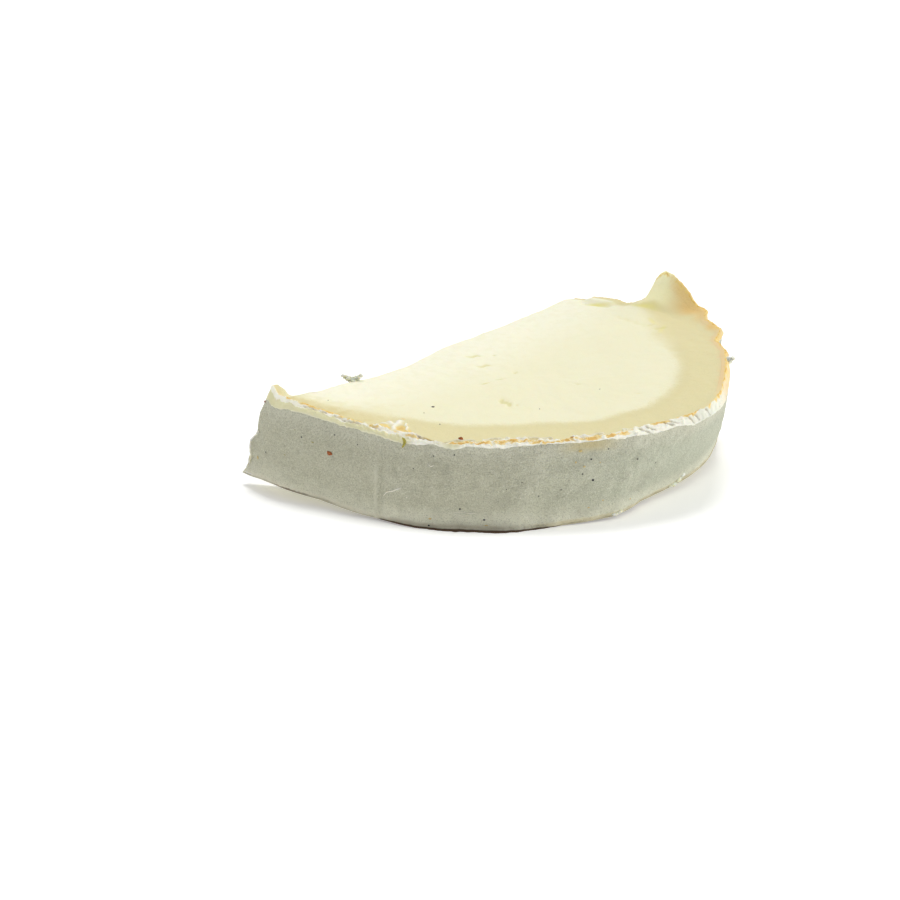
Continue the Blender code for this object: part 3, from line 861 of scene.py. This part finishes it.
def thread(places, radius):
    sides, steps = THREAD_SIDES, THREAD_STEPS
    line = np.array(places)
    shares = np.linspace(0.0, 1.0, steps)
    travelled = np.linspace(0.0, 1.0, len(line))
    path = np.column_stack([np.interp(shares, travelled, line[:, k]) for k in range(3)])
    path[1:-1] = (path[:-2] + 2 * path[1:-1] + path[2:]) / 4
    points, faces = [], []
    for k, share in enumerate(shares):
        ahead = path[min(k + 1, steps - 1)] - path[max(k - 1, 0)]
        ahead = ahead / np.linalg.norm(ahead)
        side = np.cross(ahead, [0.31, -0.8, 0.52])
        side = side / np.linalg.norm(side)
        up = np.cross(side, ahead)
        girth = radius * (0.15 + 0.85 * np.sin(np.pi * min(max(share, 0.02), 0.98)) ** 0.6)
        turn = np.arange(sides) * 2.0 * np.pi / sides
        points.append(path[k] + girth * (np.outer(np.cos(turn), side) + np.outer(np.sin(turn), up)))
    for k in range(steps - 1):
        for j in range(sides):
            a, b = k * sides + j, k * sides + (j + 1) % sides
            faces.append((a, a + sides, b + sides, b))
    faces.append(list(range(sides)))
    faces.append(list(range((steps - 1) * sides, steps * sides))[::-1])
    return np.concatenate(points), faces


def wall_path(stations, proud):
    return [on_wall(heading, depth, proud)[0] for heading, depth in stations]


green_parts.append(thread([place + FLECK_RISE for place in wall_path(FLECK, 0.4)], 0.3))
green_specks = joined("green_specks", green_parts)
threads = joined("rind_threads", [thread(wall_path(stations, proud), radius) for stations, proud, radius in THREADS])

# %% [markdown]
# ## Loose crumbs
# A few crumbs of white mould and paste cling to the slice: a forked tuft on the straight cut, one that sticks out
# at the right, and small flakes at the foot of the wall. Each is a cluster of rough balls that overlap, which
# reads as fluff at this size.

# %% Crumbs
def fluff(places, sizes, seed):
    parts = []
    for number, (place, size) in enumerate(zip(places, sizes)):
        points, faces = ball(3)
        swell = 1.0 + 0.8 * rough_over(points + seed + number * 5.3, 0.55, 3)
        parts.append((np.array(place) + points * np.clip(swell, 0.3, 1.9)[:, None] * np.array(size), faces))
    return parts


TUFT_STEPS = [(-2.0, 0.2, 1.0), (-1.4, 0.1, 0.7), (-0.8, 0.0, 0.35), (0.0, 0.0, 0.1), (0.6, 0.1, 0.35),
              (1.2, 0.2, 0.6), (1.8, 0.3, 0.95), (0.2, -0.5, 0.1), (-0.6, 0.3, 0.0), (1.0, 0.3, 0.1)]
TUFT_SIZES = [(0.35, 0.3, 0.3), (0.45, 0.4, 0.38), (0.55, 0.5, 0.45), (0.6, 0.6, 0.5), (0.5, 0.5, 0.42),
              (0.45, 0.4, 0.4), (0.35, 0.3, 0.35), (0.5, 0.4, 0.3), (0.5, 0.5, 0.4), (0.5, 0.4, 0.4)]
EDGE_CRUMB_HEADING = np.array([-6.5])
EDGE_STEPS = [(0.0, 0.0, 0.0), (0.6, 0.0, 0.1), (1.1, 0.1, 0.3), (0.4, -0.3, -0.3)]
EDGE_SIZES = [(0.7, 0.7, 0.55), (0.6, 0.55, 0.5), (0.55, 0.45, 0.35), (0.55, 0.55, 0.5)]
FOOT_FLAKES = [(-58.2, 0.985, 0.8, 0.4), (-57.0, 0.97, 0.5, 0.35), (-33.5, 0.985, 0.9, 0.5), (-32.2, 0.95, 0.9, 0.5),
               (-31.0, 0.90, 0.6, 0.4), (-35.0, 0.99, 0.6, 0.3)]
tuft_spot = on_top(-20.0, -15.6)[0]
crumb_parts = fluff([tuft_spot + np.array(step) for step in TUFT_STEPS], TUFT_SIZES, 3.0)
edge_spot = np.append(rim_line(EDGE_CRUMB_HEADING, 0.3)[0], rim_edge_height(EDGE_CRUMB_HEADING)[0] + 0.6)
crumb_parts += fluff([edge_spot + np.array(step) for step in EDGE_STEPS], EDGE_SIZES, 11.0)
for number, (heading, depth, wide, tall) in enumerate(FOOT_FLAKES):
    place, out = on_wall(heading, depth, 0.1)
    crumb_parts.append(pebble(place, out, (wide, tall, 0.3), 20.0 + number, 3, 0.5))
crumbs = joined("crumbs", crumb_parts)

# %% [markdown]
# ## Shader maths as plain expressions
# A shader is a network of nodes. `Wire` wraps one socket and turns `a * b + 1` into Math nodes, so that masks can be
# written the way they are thought of. `Finish` holds one material. Its `node` method makes any other node: its kind,
# then its settings, then its sockets.

# %% Wires and finishes
SOFT_DEPTH = (1.2, 0.9, 0.5)
SHINE = 0.35


class Wire:
    def __init__(self, finish, socket):
        self.finish = finish
        self.socket = socket

    def __add__(self, other):
        return self.finish.maths("ADD", self, other)

    def __radd__(self, other):
        return self.finish.maths("ADD", other, self)

    def __sub__(self, other):
        return self.finish.maths("SUBTRACT", self, other)

    def __rsub__(self, other):
        return self.finish.maths("SUBTRACT", other, self)

    def __mul__(self, other):
        return self.finish.maths("MULTIPLY", self, other)

    def __rmul__(self, other):
        return self.finish.maths("MULTIPLY", other, self)


class Finish:
    def __init__(self, name):
        self.material = bpy.data.materials.new(name)
        self.material.use_nodes = True
        self.tree = self.material.node_tree
        self.shader = self.tree.nodes["Principled BSDF"]
        coordinates = self.node("ShaderNodeTexCoord", {}, {}, "Object")
        self.place = self.node("ShaderNodeVectorMath", {"operation": "SCALE"}, {0: coordinates, "Scale": 1.0 / MM})

    def node(self, kind, settings, sockets, output=0):
        made = self.tree.nodes.new(kind)
        for label, value in settings.items():
            setattr(made, label, value)
        for label, value in sockets.items():
            self.feed(made.inputs[label], value)
        return Wire(self, made.outputs[output])

    def feed(self, target, value):
        if isinstance(value, Wire):
            self.tree.links.new(value.socket, target)
        elif target.type == "RGBA":
            target.default_value = (*value, 1.0)
        else:
            target.default_value = value

    def maths(self, operation, *values):
        return self.node("ShaderNodeMath", {"operation": operation}, dict(enumerate(values)))

    def number(self, label):
        return self.node("ShaderNodeAttribute", {"attribute_name": label}, {}, "Fac")

    def speckle(self, size, detail=3.0, roughness=0.55, shift=0.0):
        moved = self.node("ShaderNodeVectorMath", {"operation": "ADD"}, {0: self.place, 1: (shift, shift, shift)})
        return self.node("ShaderNodeTexNoise", {"noise_dimensions": "3D"},
                         {"Vector": moved, "Scale": 1.0 / size, "Detail": detail, "Roughness": roughness})

    def step(self, low, high, value):
        return self.node("ShaderNodeMapRange", {"interpolation_type": "SMOOTHSTEP"},
                         {"Value": value, "From Min": low, "From Max": high})

    def peak(self, value, centre, width):
        return 1.0 - self.step(0.0, width, self.maths("ABSOLUTE", value - centre))

    def blend(self, share, first, second):
        return self.node("ShaderNodeMix", {"data_type": "RGBA", "clamp_factor": True},
                         {0: share, 6: first, 7: second}, 2)

    def bump(self, height, strength, distance, below=None):
        sockets = {"Height": height, "Strength": strength, "Distance": distance}
        if below is not None:
            sockets["Normal"] = below
        return self.node("ShaderNodeBump", {}, sockets)

    def surface(self, colour, roughness, normal, soft=0.25):
        sockets = {"Base Color": colour, "Roughness": roughness, "Normal": normal, "Subsurface Weight": soft,
                   "Subsurface Radius": SOFT_DEPTH, "Subsurface Scale": 1.0 * MM, "Specular IOR Level": SHINE}
        for label, value in sockets.items():
            self.feed(self.shader.inputs[label], value)
        return self.material


def dress(piece, material):
    piece.data.materials.append(material)
    print(piece.name, "finish has", len(material.node_tree.nodes), "nodes")


print("reflected forms of a wire:", [name for name in vars(Wire) if name.startswith("__r")])


# %% [markdown]
# ## Finish of the paste
# The young middle is almost white. Towards the rind it has ripened: the colour turns straw yellow over a few
# millimetres, a little darker at the inner boundary. The pits are painted yellower, for the light they let in, and
# the broken cut face is a greener yellow. Near the ear, light and shade are painted in: its face is painted lighter,
# as if lit, and the crease at its foot and the torn pocket beside it are painted a shaded yellow.

# %% Paste finish
PASTE_WHITE = (0.91, 0.88, 0.64)
PASTE_CREAM = (0.88, 0.845, 0.58)
PASTE_FRESH = (0.98, 0.955, 0.76)
RIPE_STRAW = (0.78, 0.705, 0.40)
RIPE_LINE = (0.72, 0.65, 0.35)
RIPE_BROWN = (0.70, 0.58, 0.27)
RIPE_MIST = (0.84, 0.79, 0.50)
PIT_YELLOW = (0.76, 0.70, 0.30)
CUT_GREEN = (0.74, 0.70, 0.42)
RIM_GOLD = (0.80, 0.66, 0.34)
RIM_TAN = (0.84, 0.62, 0.32)
CRUMB_DARK = (0.56, 0.52, 0.27)
CRUMB_LIGHT = (0.86, 0.83, 0.57)
EAR_PAINTED_LIGHT = (1.0, 0.945, 0.60)
EAR_TAN = (0.84, 0.58, 0.22)
FOLD_YELLOW_AND_SHADE = (0.82, 0.76, 0.30)


def paste_colour(made, mottle):
    """The colour of the cut paste from how far in it lies: used for the paste and where the crust joins it."""
    inward = made.number("inward")
    heading = made.number("heading")
    cloud = made.speckle(9.0) - 0.5
    left = 1.0 - made.step(-136.0, -108.0, heading)
    beside_ear = made.step(2.0, 14.0, heading)
    soft = left * 0.3 + beside_ear * 0.14
    ripe_share = made.number("ripe") + cloud * 0.2 + (mottle - 0.5) * 0.12
    ripe = 1.0 - made.step(0.74 - soft, 1.06 + soft * 0.6, ripe_share)
    line = made.peak(ripe_share, 0.84, 0.2) * (1.0 - left) * (1.0 - beside_ear)
    colour = made.blend(made.speckle(14.0), PASTE_WHITE, PASTE_CREAM)
    colour = made.blend(made.number("back") * 0.9, colour, PASTE_FRESH)
    blotch = made.step(0.42, 0.66, made.speckle(2.0, 4.0, shift=6.0))
    colour = made.blend(blotch * 0.3, colour, PASTE_CREAM)
    mist = (1.0 - made.step(0.7, 2.1, ripe_share + (blotch - 0.5) * 0.7)) * left
    colour = made.blend(mist * 0.8, colour, RIPE_MIST)
    colour = made.blend(ripe, colour, RIPE_STRAW)
    colour = made.blend(line * 0.4, colour, RIPE_LINE)
    colour = made.blend(left * ripe * (0.25 + blotch * 0.6), colour, RIPE_BROWN)
    colour = made.blend((1.0 - made.step(0.0, 1.3, inward)) * 0.35, colour, RIM_GOLD)
    right = made.step(-34.0, -18.0, heading) * (1.0 - made.step(36.0, 42.0, heading))
    colour = made.blend((1.0 - made.step(0.2, 2.4, inward + (mottle - 0.5) * 2.0)) * right * 0.75, colour, RIM_TAN)
    # painted light: the face of the ear, which the lamps hardly reach, is coloured lighter than the paste, as if lit
    face = made.peak(heading, 41.0, 10.0) * (1.0 - made.step(2.6, 4.0, inward))
    colour = made.blend(face, colour, EAR_PAINTED_LIGHT)
    tan = made.peak(heading - inward * 0.8, 27.0, 9.0) * (1.0 - made.step(1.4, 4.2, inward))
    tan = tan + made.peak(heading, 35.0, 5.0) * (1.0 - made.step(0.4, 1.8, inward)) * 0.7
    tan = tan + made.peak(heading, 15.5, 4.5) * (1.0 - made.step(0.6, 2.6, inward))
    colour = made.blend(tan * 0.95, colour, EAR_TAN)
    fold = made.peak(heading, 31.5, 5.0) * made.peak(inward + heading * 0.2, 15.6, 0.9)
    fold = fold + made.peak(heading, 23.0, 5.0) * made.peak(inward + heading * 0.1, 12.6, 1.1)
    colour = made.blend(fold * 0.6, colour, FOLD_YELLOW_AND_SHADE)
    # painted shade: the crease at the foot of the ear and the torn pocket are coloured a shaded yellow
    crease = made.peak(heading, 43.0, 8.0) * made.peak(inward, 4.2, 1.4)
    colour = made.blend(crease, colour, FOLD_YELLOW_AND_SHADE)
    pocket = made.peak(heading, 56.5, 6.5) * made.peak(inward - heading * 0.12, -2.7, 1.1)
    return made.blend(pocket, colour, FOLD_YELLOW_AND_SHADE)


def paste_finish():
    made = Finish("cheese_paste")
    mottle = made.speckle(1.3, 4.0)
    colour = paste_colour(made, mottle)
    # painted light: the pits are coloured yellower for the light they let in
    colour = made.blend(made.step(0.02, 0.25, made.number("pit")) * 0.6, colour, PIT_YELLOW)
    side = made.number("side")
    crumb = made.speckle(1.5, 5.0, 0.7, shift=22.0)
    colour = made.blend(side * 0.8, colour, CUT_GREEN)
    colour = made.blend(side * (1.0 - made.step(0.28, 0.52, crumb)) * 0.45, colour, CRUMB_DARK)
    colour = made.blend(side * made.step(0.46, 0.7, crumb) * 0.6, colour, CRUMB_LIGHT)
    grain = made.speckle(0.3, 2.0)
    flat_part = 1.0 - made.step(-6.0, 4.0, made.number("heading"))
    ripe_grain = (1.0 - made.step(0.3, 0.5, grain)) * (1.0 - made.step(0.8, 1.2, made.number("ripe")))
    fine_grain = (1.0 - made.step(0.3, 0.45, grain)) * 0.12
    colour = made.blend(ripe_grain * flat_part * 0.7 + fine_grain, colour, RIPE_LINE)
    normal = made.bump(grain, 0.3, 0.1 * MM)
    normal = made.bump(mottle, 0.35, 0.2 * MM, normal)
    normal = made.bump(crumb * side, 1.0, 1.6 * MM, normal)
    return made.surface(colour, 0.55 + mottle * 0.15, normal)


dress(paste, paste_finish())

# %% [markdown]
# ## Finish of the rind
# The mould on the rind is white but thin, over a grey-green skin. It clouds over a few millimetres and has a fine
# grain that the light catches. Light and shade are painted into its colour too: crests of the relief paler and
# hollows darker, the top of the wall paler where the overhead light grazes it, the lower wall paler for light bounced
# up from the table, and a thin dark brown line of painted shadow where it rests. A photo of a rind could be laid on
# instead, but noise has no seam and stays sharp from close by.

# %% Rind finish
RIND_GREY = (0.52, 0.51, 0.38)
RIND_GREEN = (0.50, 0.52, 0.40)
RIND_PALE = (0.62, 0.61, 0.48)
RIND_LOW_BOUNCE_LIGHT = (0.78, 0.77, 0.615)
RIND_FOOT_BOUNCE_LIGHT = (0.94, 0.93, 0.78)
RIND_DARK = (0.37, 0.365, 0.275)
RIND_YELLOW = (0.60, 0.52, 0.29)
GRAIN_LIGHT = (0.72, 0.72, 0.60)
GRAIN_DARK = (0.29, 0.29, 0.215)
FOOT_SHADE_BROWN = (0.10, 0.06, 0.035)
FOOT_PALE = (0.66, 0.62, 0.48)


def rind_finish():
    made = Finish("cheese_rind")
    heading = made.number("heading")
    depth = made.number("depth")
    cloud = made.speckle(6.0, 4.0)
    fine = made.speckle(0.8, 3.0, shift=9.0)
    grain = made.speckle(0.23, 2.0, 0.7, shift=3.0)
    colour = made.blend(made.step(-100.0, -40.0, heading), RIND_GREY, RIND_GREEN)
    line = made.peak(heading - depth * 4.2, CREASE_HEADING, 0.9) * made.step(0.1, 0.5, depth)
    colour = made.blend(made.step(0.42, 0.8, cloud) * 0.35, colour, RIND_PALE)
    # painted light and shade: crests of the relief paler and hollows darker, with the wall's marks drawn in
    marks_and_relief_shade = made.number("marks_and_relief_shade") + (fine - 0.5) * 0.35
    colour = made.blend(made.step(0.05, 0.4, marks_and_relief_shade) * 0.4, colour, RIND_PALE)
    colour = made.blend((1.0 - made.step(-0.4, -0.05, marks_and_relief_shade)) * 0.4, colour, RIND_DARK)
    # painted light: the top of the wall paler, where the overhead light grazes it
    colour = made.blend(1.0 - made.step(0.0, 0.28, depth), colour, RIND_PALE)
    # painted light: the lower wall and its foot paler, for light bounced up from the table
    low_share = 0.4 + 0.5 * made.step(-124.0, -108.0, heading)
    colour = made.blend(made.step(0.7, 0.95, depth) * low_share, colour, RIND_LOW_BOUNCE_LIGHT)
    colour = made.blend(made.step(0.92, 0.98, depth) * low_share * 0.8, colour, RIND_FOOT_BOUNCE_LIGHT)
    colour = made.blend(made.step(0.5, 0.7, grain) * 0.7, colour, GRAIN_LIGHT)
    colour = made.blend((1.0 - made.step(0.3, 0.5, grain)) * 0.62, colour, GRAIN_DARK)
    colour = made.blend((1.0 - made.step(0.3, 0.5, made.speckle(3.0, 3.0, shift=14.0))) * 0.25, colour, RIND_DARK)
    upper = made.peak(heading, -69.0, 9.0) * (1.0 - made.step(0.05, 0.17, depth + (cloud - 0.5) * 0.2))
    colour = made.blend(upper * 0.95, colour, RIND_YELLOW)
    colour = made.blend(line * 0.5, colour, RIND_PALE)
    low = made.step(0.93, 0.97, depth + (fine - 0.5) * 0.03)
    colour = made.blend(low * made.step(-84.0, -70.0, heading) * 0.6, colour, RIND_YELLOW)
    colour = made.blend(low * (1.0 - made.step(-88.0, -78.0, heading)) * 0.6, colour, FOOT_PALE)
    # painted shadow in dark brown: the hem where the slice rests, and a thin ragged line of shade along the foot at the
    # left end
    ragged = made.peak(heading, -136.5, 8.5)
    thin = made.step(0.98, 0.99, depth + (fine - 0.5) * 0.03)
    colour = made.blend(made.step(1.02, 1.1, depth) + thin * ragged * 0.7, colour, FOOT_SHADE_BROWN)
    normal = made.bump(fine, 1.0, 0.35 * MM)
    normal = made.bump(grain, 1.0, 0.2 * MM, normal)
    return made.surface(colour, 0.75, normal, soft=0.08)


dress(rind, rind_finish())

# %% [markdown]
# ## Finish of the crust
# White flakes, pale yellow where only the skin was cut, straw where the crust meets the paste, and orange in the
# hollows. Shade is painted brown into the gaps, the cracks, the crater's hollow, and under the standing sheets and
# the lap. The amounts were worked out with the shape, and noise breaks their edges.

# %% Crust finish
FLAKE_WHITE = (0.93, 0.91, 0.78)
FLAKE_GREY = (0.72, 0.735, 0.62)
FLAKE_BUTTER = (0.76, 0.725, 0.46)
STAIN_ORANGE = (0.88, 0.65, 0.22)
STAIN_DEEP = (0.70, 0.40, 0.08)
GAP_SHADE_BROWN = (0.34, 0.26, 0.14)


def crust_finish():
    made = Finish("cheese_crust")
    heading = made.number("heading")
    fine = made.speckle(0.6, 3.0, shift=9.0)
    stain = made.number("stain") + (fine - 0.5) * 0.35
    shaded = made.step(-52.0, -40.0, heading) * (0.55 + (made.speckle(1.8, 3.0, shift=4.0) - 0.5) * 2.0)
    colour = made.blend(shaded, FLAKE_WHITE, FLAKE_GREY)
    colour = made.blend(made.number("butter"), colour, FLAKE_BUTTER)
    colour = made.blend(made.number("straw"), colour, paste_colour(made, made.speckle(1.3, 4.0)))
    right_rim = made.step(-33.0, -22.0, heading) * (1.0 - made.step(2.0, 10.0, heading))
    colour = made.blend(right_rim * 0.7, colour, RIM_TAN)
    colour = made.blend(made.step(0.12, 0.6, stain) * 0.85, colour, STAIN_ORANGE)
    colour = made.blend(made.step(0.66, 0.98, stain) * 0.7, colour, STAIN_DEEP)
    # painted shade: gaps, cracks, the crater's hollow, under the sheets and under the lap
    colour = made.blend(made.number("dark"), colour, GAP_SHADE_BROWN)
    normal = made.bump(fine, 0.5, 0.15 * MM)
    normal = made.bump(made.speckle(0.25, 2.0, shift=3.0), 0.4, 0.06 * MM, normal)
    return made.surface(colour, 0.65, normal, soft=0.2)


dress(crust, crust_finish())

# %% [markdown]
# ## Finishes of the small things
# Each is one colour that a little noise darkens and lightens, because even a speck isn't even.

# %% Speck, thread and crumb finishes
def small_finish(name, dark, light, size, roughness, soft):
    made = Finish(name)
    grain = made.speckle(size, 3.0)
    colour = made.blend(made.step(0.3, 0.7, grain), dark, light)
    return made.surface(colour, roughness, made.bump(grain, 0.4, 0.05 * MM), soft)


SPECK = (0.3, 0.6, 0.1)
FLUFF = (0.9, 0.8, 0.5)
for piece, kind, dark, light in ((dark_specks, SPECK, (0.02, 0.02, 0.025), (0.07, 0.07, 0.07)),
                                 (rusty_specks, SPECK, (0.13, 0.03, 0.008), (0.54, 0.16, 0.03)),
                                 (yellow_specks, SPECK, (0.52, 0.40, 0.17), (0.66, 0.52, 0.24)),
                                 (green_specks, SPECK, (0.22, 0.20, 0.03), (0.50, 0.44, 0.08)),
                                 (threads, FLUFF, (0.78, 0.73, 0.58), (0.92, 0.87, 0.74)),
                                 (crumbs, FLUFF, (0.70, 0.69, 0.44), (0.96, 0.97, 0.84))):
    dress(piece, small_finish(piece.name + "_finish", dark, light, *kind))

# %% [markdown]
# ## Hand the pieces to the frame
# Every piece rides on the slice's only body and takes its finish from its one slot. The paste, the rind and the
# crust together stand for the one solid.

# %% Ride and replace
pieces = (paste, rind, crust, dark_specks, rusty_specks, yellow_specks, green_specks, threads, crumbs)
for piece in pieces:
    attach(piece, "root")
for piece in (paste, rind, crust):
    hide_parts("cheese_slice")
print("pieces:", len(pieces))

# %% [markdown]
# ## Table
# The slice lies on plain white. One large sheet is enough for that. It glows a little, like a lit shooting table, so
# that the shadows stay pale.

# %% Table
FLOOR_HALF = 4.0


def make_floor():
    corners = [(-1, -1), (1, -1), (1, 1), (-1, 1)]
    mesh = bpy.data.meshes.new("table")
    mesh.from_pydata([(x * FLOOR_HALF, y * FLOOR_HALF, 0.0) for x, y in corners], [], [(0, 1, 2, 3)])
    table = bpy.data.objects.new("table", mesh)
    bpy.context.scene.collection.objects.link(table)
    white = bpy.data.materials.new("table_white")
    white.use_nodes = True
    shader = white.node_tree.nodes["Principled BSDF"]
    shader.inputs["Base Color"].default_value = (0.93, 0.935, 0.93, 1.0)
    shader.inputs["Roughness"].default_value = 0.9
    shader.inputs["Specular IOR Level"].default_value = 0.1
    shader.inputs["Emission Color"].default_value = (1.0, 1.0, 0.99, 1.0)
    shader.inputs["Emission Strength"].default_value = 0.26
    table.data.materials.append(white)
    print("table half width, metres:", FLOOR_HALF)


make_floor()

# %% [markdown]
# ## Lights
# The light is wide and soft, from straight above and a little behind. A sun lamp with a wide disc gives that evenly
# over the whole table, where an area lamp would fall off. Two more with still wider discs stand low at the right and,
# weaker, at the left. They light the sides of the slice and reach under its lifted ends.

# %% Lights
def make_light(name, energy, turn, width):
    lamp = bpy.data.lights.new(name, "SUN")
    lamp.energy = energy
    lamp.angle = np.radians(width)
    holder = bpy.data.objects.new(name, lamp)
    holder.rotation_euler = [np.radians(angle) for angle in turn]
    bpy.context.scene.collection.objects.link(holder)
    print(name, "energy", energy)


make_light("overhead", 1.3, (-14.0, 0.0, 0.0), 22.0)
make_light("right_side", 1.3, (0.0, 70.0, 0.0), 50.0)
make_light("left_side", 0.4, (0.0, -70.0, -10.0), 50.0)
world = bpy.data.worlds.new("studio")
world.use_nodes = True
background = world.node_tree.nodes["Background"]
background.inputs["Color"].default_value = (1.0, 1.0, 1.0, 1.0)
background.inputs["Strength"].default_value = 0.45
bpy.context.scene.world = world
bpy.context.scene.view_settings.view_transform = "Standard"

# %% [markdown]
# ## Camera
# The slice is seen from a little above the table. The camera stands well back with a narrow view, so that the near
# rim doesn't look much larger than the far one.

# %% Camera
CAMERA_HEIGHT_ANGLE = 18.0
CAMERA_DISTANCE = 700.0
VIEW_WIDTH = 190.0


def make_camera():
    tilt = np.radians(CAMERA_HEIGHT_ANGLE)
    place = np.array([0.0, -np.cos(tilt), np.sin(tilt)]) * CAMERA_DISTANCE + TO_FRAME
    camera = bpy.data.cameras.new("camera")
    camera.sensor_fit = "HORIZONTAL"
    camera.angle = 2.0 * np.arctan(VIEW_WIDTH / 2.0 / CAMERA_DISTANCE)
    holder = bpy.data.objects.new("camera", camera)
    holder.location = place * MM
    holder.rotation_euler = (np.pi / 2.0 - tilt, 0.0, 0.0)
    bpy.context.scene.collection.objects.link(holder)
    bpy.context.scene.camera = holder
    print("the camera sees this width, millimetres:", VIEW_WIDTH)


make_camera()

# %% [markdown]
